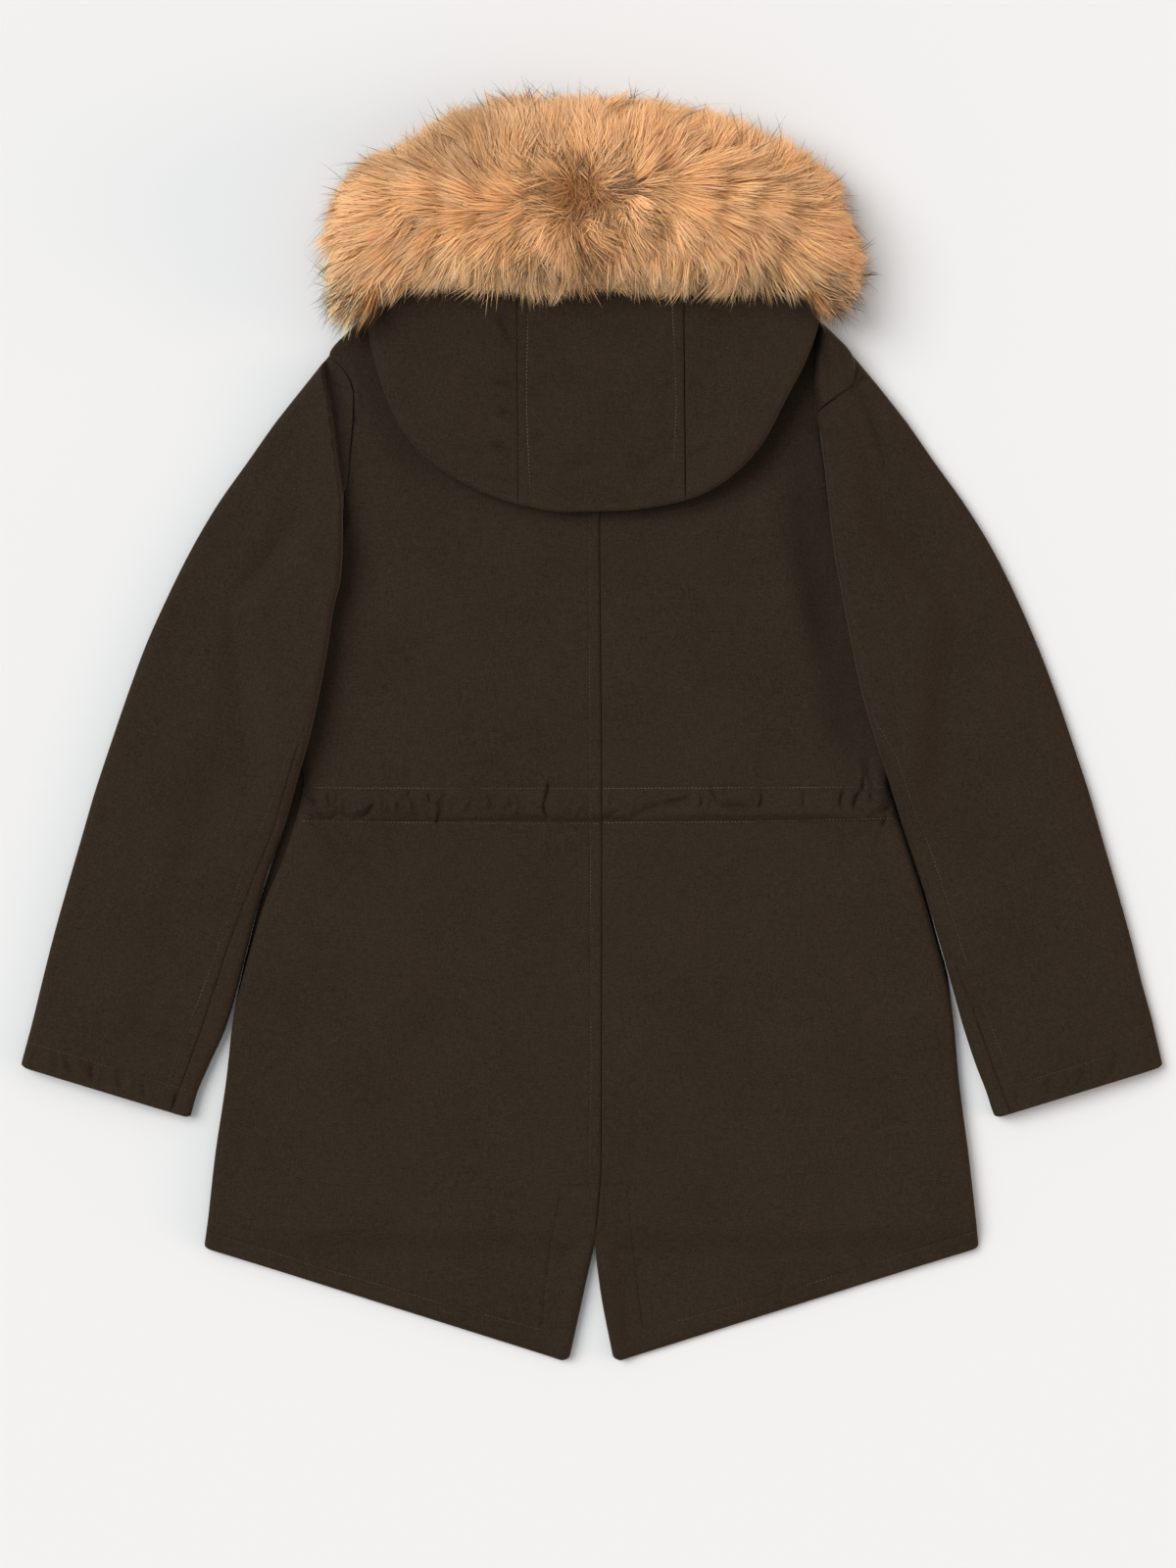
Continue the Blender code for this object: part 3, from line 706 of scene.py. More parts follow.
def creased(x, y, table):
    """The rise of a table of creases, each fading towards both of its ends."""
    rise = np.zeros(np.shape(x))
    for x0, y0, x1, y1, bow, width, height in table:
        distance, place, length = near_line(x, y, arc(x0, y0, x1, y1, bow))
        fade = np.sqrt(np.clip(4 * place * (length - place), 0, None)) / length
        rise += CREASE_DEPTH * height * bump(distance, width) * fade
    return rise


def sewn(x, y, points, depth, width):
    """A row of sewing sinks into the cloth and puckers it a little on both sides."""
    distance, place, _ = near_line(x, y, points)
    pucker = np.sin(place * 0.71 + 1.7 * np.sin(place * 0.113)) * bump(distance, 5.0)
    return 0.16 * pucker - depth * bump(distance, width)


def uneven(x, y, turn):
    """The slight swells of padded cloth that has been worn and pressed flat."""
    broad = np.sin(x / 34 + 1.4 * np.sin(y / 61 + turn)) * np.sin(y / 47 + 1.1 * np.sin(x / 53))
    small = np.sin(x / 13 + 1.7 * np.sin(y / 23) + turn) * np.sin(y / 17 + 1.9 * np.sin(x / 29))
    return 0.50 * broad + 0.16 * small


side_edges = {"left": track(SIDES, 1), "right": track(SIDES, 2)}
centre_edges = {"left": track(CENTRE, 1), "right": track(CENTRE, 2)}
lifts = {"left": track(LIFT, 1), "right": track(LIFT, 2)}
front_beyond = {"left": track(FRONT_BEYOND_BACK, 1), "right": track(FRONT_BEYOND_BACK, 2)}
hood_depth, hood_reach = track(SUNK_ROUND_HOOD, 1), track(SUNK_ROUND_HOOD, 2)
hood_stand, hood_fall = track(HOOD_EDGE, 1), track(HOOD_EDGE, 2)
fur_outline = [track(FUR_OUTLINE, column) for column in (1, 2, 3)]


# Meshes


def new_piece(name, points, faces, material, sharp=SHARP_EDGE):
    """An object from points in millimetres and arrays of faces, one array for each face size."""
    mesh = bpy.data.meshes.new(name)
    sizes = np.concatenate([np.full(len(f), f.shape[1]) for f in faces])
    corners = np.concatenate([f.ravel() for f in faces])
    mesh.vertices.add(len(points))
    mesh.vertices.foreach_set("co", (points * MM).astype(np.float32).ravel())
    mesh.loops.add(len(corners))
    mesh.loops.foreach_set("vertex_index", corners.astype(np.int32))
    mesh.polygons.add(len(sizes))
    starts = np.concatenate([[0], np.cumsum(sizes)[:-1]])
    mesh.polygons.foreach_set("loop_start", starts.astype(np.int32))
    mesh.update(calc_edges=True)
    mesh.materials.append(material)
    mesh.shade_smooth()
    if sharp:
        built = bmesh.new()
        built.from_mesh(mesh)
        bmesh.ops.recalc_face_normals(built, faces=built.faces)
        built.to_mesh(mesh)
        built.free()
        mesh.set_sharp_from_angle(angle=math.radians(sharp))
    piece = bpy.data.objects.new(name, mesh)
    bpy.context.scene.collection.objects.link(piece)
    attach(piece, "root")
    return piece


def grid_faces(index):
    """The quads of a grid of point numbers."""
    corners = (index[:-1, :-1], index[:-1, 1:], index[1:, 1:], index[1:, :-1])
    return np.stack(corners, -1).reshape(-1, 4)


def rim_faces(fine, coarse):
    """Faces between an edge with many points and one with a COARSERth of them."""
    spans = len(coarse) - 1
    start = np.arange(spans) * COARSER
    many = [fine[start + k] for k in range(COARSER + 1)]
    return np.stack([*many, coarse[1:], coarse[:-1]], -1)


def point_numbers(grid, first=0):
    """The numbers of a grid's points in a mesh."""
    rows, columns = grid.shape[:2]
    return first + np.arange(rows * columns).reshape(rows, columns)


def wall(name, outer, inner, material, ring=False):
    """A closed wall between a fine grid of points and a coarser one behind it.

    The rows of a ring close on themselves, so that the wall is that of a tube.
    """
    fine = point_numbers(outer)
    coarse = point_numbers(inner, fine.size)
    edges = [np.s_[0, :], np.s_[-1, :]]
    if ring:
        fine = np.concatenate([fine, fine[:, :1]], axis=1)
        coarse = np.concatenate([coarse, coarse[:, :1]], axis=1)
    else:
        edges += [np.s_[:, 0], np.s_[:, -1]]
    faces = [grid_faces(fine), grid_faces(coarse)]
    faces += [rim_faces(fine[edge], coarse[edge]) for edge in edges]
    points = np.concatenate([outer.reshape(-1, 3), inner.reshape(-1, 3)])
    return new_piece(name, points, faces, material)


# Materials


class Wire:
    """A value that varies over a surface. An expression on it adds its Math nodes."""

    def __init__(self, recipe, socket):
        self.recipe = recipe
        self.socket = socket

    def math(self, operation, *values):
        return self.recipe.node("ShaderNodeMath", {"operation": operation}, dict(enumerate(values)))

    def __add__(self, other):
        return self.math("ADD", self, other)

    def __sub__(self, other):
        return self.math("SUBTRACT", self, other)

    def __rsub__(self, other):
        return self.math("SUBTRACT", other, self)

    def __mul__(self, other):
        return self.math("MULTIPLY", self, other)


class Recipe:
    """The nodes of one material, built round its shader."""

    def __init__(self, name, **constants):
        self.material = bpy.data.materials.new(name)
        self.material.use_nodes = True
        self.tree = self.material.node_tree
        self.shader = self.tree.nodes["Principled BSDF"]
        for socket, value in constants.items():
            self.shader.inputs[socket.replace("_", " ")].default_value = value

    def node(self, kind, settings=None, sockets=None, output=0):
        """A node with its settings, then its sockets' values or links; gives one output."""
        made = self.tree.nodes.new(kind)
        for setting, value in (settings or {}).items():
            setattr(made, setting, value)
        for socket, value in (sockets or {}).items():
            if isinstance(value, Wire):
                self.tree.links.new(value.socket, made.inputs[socket])
            else:
                made.inputs[socket].default_value = value
        return Wire(self, made.outputs[output])

    def feed(self, socket, value):
        self.tree.links.new(value.socket, self.shader.inputs[socket])

    def place(self, turn=0.0, stretch=(1.0, 1.0, 1.0)):
        """Where a point of the object is, turned about Z and stretched."""
        where = self.node("ShaderNodeTexCoord", output="Object")
        turned = {"Vector": where, "Rotation": (0.0, 0.0, turn)}
        grain = self.node("ShaderNodeMapping", sockets=turned)
        return self.node("ShaderNodeMapping", sockets={"Vector": grain, "Scale": stretch})

    def noise(self, where, size, detail=2.0):
        """Noise whose features are about a size in metres."""
        sockets = {"Vector": where, "Scale": 1 / size, "Detail": detail}
        return self.node("ShaderNodeTexNoise", sockets=sockets)

    def blend(self, share, one, other):
        """From one colour to another by a share."""
        sockets = {"Factor": share, 6: one, 7: other}
        return self.node("ShaderNodeMix", {"data_type": "RGBA"}, sockets, output=2)

    def raise_surface(self, height, distance, strength=1.0):
        sockets = {"Height": height, "Distance": distance, "Strength": strength}
        self.feed("Normal", self.node("ShaderNodeBump", sockets=sockets))


COTTON_DARK = (0.0150, 0.0098, 0.0058, 1.0)
COTTON_LIGHT = (0.0355, 0.0245, 0.0158, 1.0)
THREAD_DARK = (0.016, 0.011, 0.007, 1.0)
THREAD_LIGHT = (0.150, 0.118, 0.084, 1.0)
THREAD_DIM = (0.092, 0.071, 0.050, 1.0)
# Painted shade: a thread colour darker than the cloth, standing in for the shade of sunk rows and their
# needle holes.
THREAD_PAINTED_SHADE = (0.006, 0.004, 0.003, 1.0)
UNDERFUR_DARK = (0.20, 0.088, 0.030, 1.0)
UNDERFUR_LIGHT = (0.52, 0.27, 0.11, 1.0)
FLOOR_COLOUR = (0.717, 0.717, 0.717, 1.0)
SURROUND_COLOUR = (0.532, 0.545, 0.552, 1.0)
YARN = 0.0008  # the thickness of one thread of the cloth, in metres


def cotton(name, turn):
    """Washed dark khaki cotton: uneven threads both ways, matt, faintly mottled by its dye."""
    recipe = Recipe(name, Roughness=0.85, Specular_IOR_Level=0.05, Sheen_Weight=0.20,
                    Sheen_Roughness=0.30, Sheen_Tint=(1.0, 0.86, 0.72, 1.0))
    weft = recipe.noise(recipe.place(turn, (0.12, 1.0, 1.0)), YARN)
    warp = recipe.noise(recipe.place(turn, (1.0, 0.12, 1.0)), YARN)
    grain = recipe.noise(recipe.place(turn), 0.0014, 3.0)
    slub = recipe.noise(recipe.place(turn, (0.16, 1.0, 1.0)), 0.003)
    dye = recipe.noise(recipe.place(turn), 0.06)
    threads = weft * 0.5 + warp * 0.5
    share = threads * 1.3 + grain * 1.3 + slub * 0.15 + dye * 0.30 - 1.025
    recipe.feed("Base Color", recipe.blend(share, COTTON_DARK, COTTON_LIGHT))
    recipe.feed("Roughness", 0.98 - threads * 0.25)
    recipe.raise_surface(threads + grain * 0.5, 0.0003, 0.5)
    return recipe.material


def sewing_thread(name, light):
    """Matt spun thread, a little lighter than the cloth, or painted darker than it as the shade of a sunk
    row.
    """
    recipe = Recipe(name, Roughness=0.8, Specular_IOR_Level=0.2)
    spin = recipe.noise(recipe.place(), 0.004)
    wear = recipe.noise(recipe.place(), 0.035)
    share = spin * 0.8 + wear * 2.0 - 0.95
    recipe.feed("Base Color", recipe.blend(share, THREAD_DARK, light))
    return recipe.material


def fur_backing():
    """The short dense underfur, seen only between the long hairs."""
    recipe = Recipe("underfur", Roughness=0.95, Specular_IOR_Level=0.1)
    depth = recipe.noise(recipe.place(), 0.006, 4.0)
    recipe.feed("Base Color", recipe.blend(depth, UNDERFUR_DARK, UNDERFUR_LIGHT))
    recipe.raise_surface(depth, 0.004, 0.8)
    return recipe.material


def fur_hair():
    """Long hair whose colour runs from its root to its tip."""
    recipe = Recipe("golden hair", Roughness=0.6, Specular_IOR_Level=0.25)
    shade = recipe.node("ShaderNodeVertexColor", {"layer_name": "hair_colour"})
    recipe.feed("Base Color", shade)
    return recipe.material


# Body


def back_rise(hand, x, y, from_hem):
    """What stands up from one back half: its loft, seams, casing, sewing and creases."""
    side = side_edges[hand](y)
    centre = centre_edges[hand](y)
    from_side = np.abs(x - side)
    from_centre = np.abs(x - centre)
    rise = 0.7 * ease((from_side - 60) / 80) + uneven(x, y, 0.6) * ease(from_side / 30)
    if hand == "left":
        rise += FELL_RAISE * ease((FELL_WIDTH + 0.5 - from_centre) / 1.2) * ease((y - VENT_BOX_TOP_Y) / 6)
    rise -= SEAM_SINK * bump(from_centre, 1.1) * ease((y - VENT_TOP_Y) / 4)
    rise += casing_rise(x, y) * ease(from_side / 14)
    rise += CASING_DEEPER * creased(x, y, CASING_CREASES) * ease(from_side / 5)
    below = BELOW_CASING_Y - y
    skirt = ease(below / 60) * ease((y - SKIRT_FOOT_Y) / 60)
    rise += skirt * 1.6 * bump(np.abs(x) - 150 - 0.16 * below, 26)
    rise -= skirt * 1.0 * bump(np.abs(x) - 95 - 0.10 * below, 18)
    low = sunk(hand, x, y)
    if hand == "right":
        raised = ease((x - fold_place(hand, y) + 2) / 5) * ease((y - 226) / 8) * ease((326 - y) / 14)
        low = low * (1 - raised)
        rise += SHOULDER_RAISE * raised
    rise -= low
    piece = f"back_{hand}"
    rise += creased(x, y, BACK_CREASES) + creased(x, y, SWELLS)
    rise += sewn(x, y, HEM_ROWS[piece], *SEWN["hem"]) + sewn(x, y, VENT_BOX[piece], *SEWN["vent"])
    if hand == "left":
        rise += sewn(x, y, BACK_TOPSTITCH, *SEWN["back"])
    rise += VENT_EDGE_RAISE * bump(from_centre - 7, 8.0) * ease((VENT_TOP_Y + 2 - y) / 14)
    turn_up = ease((HEM_TURN - from_hem) / 6)
    rise += 0.5 * turn_up * (1 + 0.5 * np.sin(x / 9 + 2.0 * np.sin(x / 31)))
    return rise


def fold_place(hand, y):
    """Where across the garment a sleeve's raised fold lies."""
    points = sorted((py, px) for px, py in SLEEVE_FOLD[hand])
    return np.interp(y, [point[0] for point in points], [point[1] for point in points])


def sunk(hand, x, y):
    """How far the cloth has sunk beside the sleeve's fold and round the hood."""
    depth, reach = SUNK_BESIDE[hand]
    beside = depth * bump(away_from(x, y, SLEEVE_FOLD[hand]), reach)
    round_hood = hood_depth(x) * bump(away_from(x, y, HOOD_FOLD_LINE), hood_reach(x))
    return SUNK_DEEPEST * np.tanh(np.hypot(beside, round_hood) / SUNK_DEEPEST * 1.15)


def casing_rise(x, y):
    """The drawn-in waist casing: a puffed band that leans over its lower row of sewing."""
    middle = (CASING_TOP_Y + CASING_FOOT_Y) / 2
    half = (CASING_TOP_Y - CASING_FOOT_Y) / 2
    offset = (y - middle) / half
    wave = 0.5 + 0.5 * np.sin(x / 17 + 2.2 * np.sin(x / 41))
    overhang = 1 + 0.5 * wave * ease(-offset / 0.5)
    rise = CASING_PUFF * np.clip(1 - offset**2, 0, None) ** 0.75 * (1 - 0.45 * offset) * overhang
    rise -= 0.8 * bump(np.abs(offset) - 1, 0.11)
    return rise - 1.9 * wave**2 * bump(offset + 0.84, 0.15)


def tail_drop(y, across):
    """How far the tail has settled below the level of the fronts, from 0 to 1."""
    hem = FRONT_HEM[0] + (FRONT_HEM[1] - FRONT_HEM[0]) * across
    return ease((hem - 2 - y) / TAIL_RAMP)


def corner_inset(from_end, radius):
    """How far an edge stands in where a corner of that radius is rounded off."""
    inside = np.clip(1 - from_end / radius, 0, 1)
    return radius * (1 - np.sqrt(1 - inside**2))


def back_places(width):
    """Shares of a row's width from the side edge to the centre, closer at both ends."""
    near_side = round_edge(8)[1]
    near_centre = np.array([15.5, 14, 12.5, 11, 10, 9.4, 8.8, 8.2, 7.2, 6, 4.8, 3.6, 2.5, 1.6, 0.8, 0])
    share = np.linspace(0, 1, BACK_COLUMNS + 2)[1:-1]
    start = near_side[-1] / width
    end = 1 - near_centre[0] / width
    middle = start[:, None] + (end - start)[:, None] * share
    places = [near_side / width[:, None], middle, 1 - near_centre / width[:, None]]
    return np.concatenate(places, axis=1)


def make_back(hand, material):
    """One back half: its padded wall with a finer surface than its solid."""
    rows = np.array(BACK_ROWS, float)
    run = np.concatenate([[0], np.cumsum(np.abs(np.diff(rows, axis=0)).max(axis=1))])
    casing, hem = run[5], run[-1]
    down = spaced(hem, BACK_ROW_STEP, (
        # from, to, step
        (0, 112, 2.8),
        (casing - 26, casing, 2.6),
        (casing, casing + 38, FINE_ROW_STEP),
        (casing + 38, casing + 70, 2.6),
        (hem - 130, hem - 26, 3.6),
        (hem - 26, hem - 8, 1.9),
        (hem - 8, hem, 1.2),
    ))
    side_y = np.interp(down, run, rows[:, 0])
    centre_y = np.interp(down, run, rows[:, 1])
    inward = 1 if hand == "left" else -1
    start = side_edges[hand](side_y)
    end = centre_edges[hand](centre_y) - inward * SEAM_GAP / 2
    start = start + inward * corner_inset(side_y - side_y[-1], HEM_CORNER)
    end = end - inward * corner_inset(centre_y - centre_y[-1], HEM_CORNER)
    width = np.abs(end - start)
    places = back_places(width)
    x = between(start, end, places)
    y = between(side_y, centre_y, places)
    from_hem = np.broadcast_to((hem - down)[:, None], x.shape)
    low = BACK_UNDERSIDE * (1 - tail_drop(y, places))
    at_armhole = ease((y - 190) / 10) * ease((292 - y) / 6)
    side_round = EDGE_ROUND + (ARMHOLE_ROUND - EDGE_ROUND) * at_armhole
    if hand == "right":
        side_round = side_round - 2.0 * ease((y - 266) / 8) * at_armhole
    edge = rounded(places * width[:, None], side_round) * rounded(1.2 + from_hem, EDGE_ROUND)
    vent = ease((VENT_TOP_Y + 4 - y) / 10)
    edge = edge * (1 - vent * (1 - rounded(0.8 + (1 - places) * width[:, None], 3.6)))
    height = (BACK_LOFT + back_rise(hand, x, y, from_hem)) * edge
    top = np.stack([x, y, low + np.maximum(height, LEAST_WALL)], -1)
    under = np.stack([x, y, low], -1)[::COARSER, ::COARSER]
    return wall(f"shell_back_{hand}", top, under, material)


def make_front(hand, material):
    """One front, hidden beneath: flat, thinner where it lies over the storm flap."""
    inward = 1 if hand == "left" else -1
    over_flap = FLAP_HALF_WIDTH + SEAM_GAP
    down = spaced(FRONT_LENGTH, FRONT_ROW_STEP)
    side_y = np.interp(down, (0, FRONT_LENGTH), (FRONT_TOP_Y[0], FRONT_HEM[0]))
    centre_y = np.interp(down, (0, FRONT_LENGTH), (FRONT_TOP_Y[1], FRONT_HEM[1]))
    start = side_edges[hand](side_y) - inward * front_beyond[hand](side_y)
    end = np.full(start.shape, -inward * SEAM_GAP / 2)
    width = np.abs(end - start)
    near_side = round_edge(6)[1]
    near_flap = over_flap + np.array([14, 9, 5, 2.5, 0.6, 0.0, -10, -20, -29])
    share = np.linspace(0, 1, 20)[1:-1]
    middle = near_side[-1] + (width[:, None] - near_flap[0] - near_side[-1]) * share
    places = np.concatenate([
        np.broadcast_to(near_side, (len(down), len(near_side))),
        middle,
        width[:, None] - near_flap,
    ], axis=1) / width[:, None]
    x = between(start, end, places)
    y = between(side_y, centre_y, places)
    low = WALL * (1 - rounded(places * width[:, None], EDGE_ROUND))
    low = np.where(np.abs(x) <= over_flap + 0.01, FLAP_THICKNESS + SEAM_GAP, low)
    beyond = front_beyond[hand](side_y)[:, None]
    strip = ease((beyond + 3 - places * width[:, None]) / 3) * (beyond > 0.3)
    high = WALL - strip * (WALL - STRIP_THICKNESS)
    under = np.stack([x, y, np.minimum(low, high - LEAST_WALL)], -1)
    top = np.stack([x, y, high], -1)[::COARSER, ::COARSER]
    return wall(f"shell_front_{hand}", under, top, material)


def make_storm_flap(material):
    """The plain flap that covers the front closing, with softened long edges."""
    down = np.linspace(FRONT_TOP_Y[1], FRONT_HEM[0] + 3, COARSER * 12 + 1)
    turn = np.linspace(-math.pi / 2, math.pi / 2, COARSER * 6 + 1)
    across = FLAP_HALF_WIDTH * np.sin(turn)
    y, x = np.meshgrid(down, across, indexing="ij")
    edge = rounded(FLAP_HALF_WIDTH - np.abs(x) + 0.5, FLAP_ROUND)
    low = FLAP_THICKNESS * 0.45 * (1 - edge)
    under = np.stack([x, y, low], -1)
    top = np.stack([x, y, FLAP_THICKNESS - low], -1)[::COARSER, ::COARSER]
    return wall("shell_storm_flap", under, top, material)


# Sleeves


def along(points, place):
    """Points at shares of the length of a line of points."""
    points = np.array(points, float)
    steps = np.hypot(*np.diff(points, axis=0).T)
    run = np.concatenate([[0], np.cumsum(steps)]) / steps.sum()
    return np.interp(place, run, points[:, 0]), np.interp(place, run, points[:, 1])


def sleeve_low(hand, x, y):
    """The height of a sleeve's underside, which climbs from the surface on to the body."""
    side = side_edges[hand](y)
    inside = (x - side) if hand == "left" else (side - x)
    return lifts[hand](y) * ease((inside + RAMP_CLEAR + SLEEVE_RAMP) / SLEEVE_RAMP)


def sleeve_rise(hand, x, y, place, station):
    """What stands up from a sleeve: its crown, folds, seam, sewing and turned cuff."""
    fold = 1.3 * bump(place - 0.30 - 0.012 * station, 0.09) * ease(station / 3)
    fold -= 0.9 * bump(place - 0.62 + 0.006 * station, 0.08) * ease(station / 4)
    rise = SLEEVE_CROWN * np.sin(math.pi * np.clip(place, 0, 1))
    rise += fold * ease((17 - station) / 4)
    rise += creased(x, y, SLEEVE_CREASES[hand]) + uneven(x, y, 2.1)
    rise -= SEAM_SINK * bump(away_from(x, y, SLEEVE_SEAM[hand]), 0.9)
    rise += sewn(x, y, SLEEVE_TOPSTITCH[hand], *SEWN["sleeve"])
    rise += sewn(x, y, CUFF_ROW[hand], *SEWN["cuff"])
    beyond = (x - fold_place(hand, y)) * (-1 if hand == "left" else 1)
    towards_fold = np.exp(-np.clip(beyond, 0, None) / 24)
    on_back = FOLD_RAISE * ease((y + 50) / 50)
    if hand == "left":
        cap = ease((beyond + 2.0) / 4.0)
        rise += (CAP_RAISE - on_back) * cap * towards_fold * ease((y - 150) / 40)
        rise -= sunk(hand, x, y) * (1 - cap) * ease((y - 172) / 12)
        rise += on_back * cap * towards_fold
    else:
        rise -= RIGHT_EDGE_DROP * bump(place * 150, 13.0)
        rise += (SHOULDER_RAISE - on_back) * towards_fold * ease((y - 200) / 40)
        rise += on_back * towards_fold
    return rise


def across_sleeve(ends, share):
    """Points at shares of the way from a station's outer fold to its inner one."""
    return ends[0] + (ends[2] - ends[0]) * share, ends[1] + (ends[3] - ends[1]) * share


def seam_share(hand, ends, width):
    """The share of a sleeve's width at which its underarm seam runs."""
    share = np.linspace(0.6, 1.0, 201)
    distance = away_from(*across_sleeve(ends, share), SLEEVE_SEAM[hand])
    return min(float(share[np.argmin(distance)]), 1 - 12.0 / width)


def fold_angles(count, angles):
    """The angle round a fold at each place across a layer that is folded at both of its ends."""
    angle = np.full(count, math.pi / 2)
    angle[:len(angles)] = angles
    angle[-len(angles):] = angles[::-1]
    return angle


def make_sleeve(hand, material):
    """A one-piece sleeve, laid double: over the top from its outer fold, and back beneath."""
    stations = LEFT_SLEEVE if hand == "left" else RIGHT_SLEEVE
    outward = -1 if hand == "left" else 1
    armhole_y = np.linspace(*ARMHOLE[hand], 40)
    armhole_x = side_edges[hand](armhole_y) + outward * ARMHOLE_GAP
    armhole = np.stack([armhole_x, armhole_y - 0.2], -1)
    table = numbered(stations)
    lines = [track(table, column) for column in (1, 2, 3, 4)]
    middle_y = [(row[1] + row[3]) / 2 for row in stations]
    middle_x = [(row[0] + row[2]) / 2 for row in stations]
    run = np.concatenate([[0], np.cumsum(np.hypot(np.diff(middle_x), np.diff(middle_y)))])
    cuff = run[-1]
    down = spaced(cuff, SLEEVE_ROW_STEP, (
        (0, 26, 0.8), (26, 40, FINE_ROW_STEP), (cuff - 30, cuff, 1.7)))
    station = np.interp(down, run, np.arange(len(stations)))
    angles, turn = round_edge(9)
    rings, hollows = [], []
    for number, from_cuff in zip(station, cuff - down):
        ends = np.array([float(read(number)) for read in lines])
        width = math.hypot(ends[2] - ends[0], ends[3] - ends[1])
        inset = (ends[2:] - ends[:2]) / width * corner_inset(from_cuff, CUFF_CORNER)
        ends += np.concatenate([inset, -inset])
        near = turn / width
        seam = seam_share(hand, ends, width)
        over = np.concatenate([
            near,
            np.linspace(near[-1], seam - 2.0 / width, SLEEVE_COLUMNS)[1:],
            seam + np.array([-0.8, 0.0, 0.8]) / width,
            np.linspace(seam + 2.0 / width, 1 - near[-1], 5)[:-1],
            1 - near[::-1],
        ])
        flat = np.linspace(near[-1], 1 - near[-1], SLEEVE_COLUMNS_BENEATH)[1:-1]
        back = np.concatenate([near, flat, 1 - near[::-1]])
        place = np.concatenate([over, back[-2:0:-1]])
        back_angle = fold_angles(len(back), angles)
        angle = np.concatenate([fold_angles(len(over), angles), back_angle[-2:0:-1]])
        up = np.concatenate([np.ones(len(over)), -np.ones(len(back) - 2)])

        def plan(share):
            x, y = across_sleeve(ends, share)
            if number < 1:
                seam_x, seam_y = along(armhole, share)
                x = seam_x + (x - seam_x) * number
                y = seam_y + (y - seam_y) * number
            return x, y

        x, y = plan(place)
        if number < 1:
            x = x - outward * ARMHOLE_LAP * (1 - number) ** 5 * np.clip(up * np.sin(angle), 0, 1)
        low = sleeve_low(hand, x, y)
        plain = SLEEVE_HEIGHT + SLEEVE_CROWN * np.sin(math.pi * place)
        rise = sleeve_rise(hand, x, y, place, number)
        crown = np.where(up > 0, SLEEVE_HEIGHT + rise, plain)
        mid, half = low + crown / 2, crown / 2
        rings.append(np.stack([x, y, mid + up * half * np.sin(angle)], -1))
        share = WALL / width
        hollow = share + (1 - 2 * share) * place
        void_x, void_y = plan(hollow)
        void_half = np.maximum(plain / 2 - WALL, SLEEVE_VOID / 2) * (0.25 + 0.75 * np.sin(angle))
        void_half = np.where(angle > 0, void_half, 0.0)
        void_mid = sleeve_low(hand, void_x, void_y) + plain / 2
        hollows.append(np.stack([void_x, void_y, void_mid + up * void_half], -1))
    outer = np.array(rings)
    inner = np.array(hollows)[::COARSER, ::COARSER]
    return wall(f"shell_sleeve_{hand}", outer, inner, material, ring=True)


# Hood


def hood_rise(x, y):
    """What stands up from the hood's upper layer."""
    rise = HOOD_DEEPER * creased(x, y, HOOD_CREASES) + 0.8 * uneven(x, y, 4.0)
    rise -= hood_fall(x) * bump(away_from(x, y, HOOD_FOLD_LINE), 24.0)
    for hand, seam_row in zip(("left", "right"), HOOD_SEAMS):
        fold_x, fold_y, edge_x = HOOD_FOLD[seam_row]
        seam = away_from(x, y, ((edge_x, HOOD_EDGE_Y), (fold_x, fold_y)))
        rise -= HOOD_SEAM_SINK[hand] * bump(seam, 0.9)
        stitch = away_from(x, y, HOOD_TOPSTITCH[hand])
        rise += 0.25 * bump(stitch - 3.5, 3.5) * ease((8.5 - seam) / 2)
        rise += sewn(x, y, HOOD_TOPSTITCH[hand], *SEWN["hood"])
    return rise


def hood_lift(x, y):
    """How far both layers of the hood stand off the back near the bottom fold."""
    return hood_stand(x) * bump(away_from(x, y, HOOD_FOLD_LINE), 34.0) * ease((328 - y) / 20)


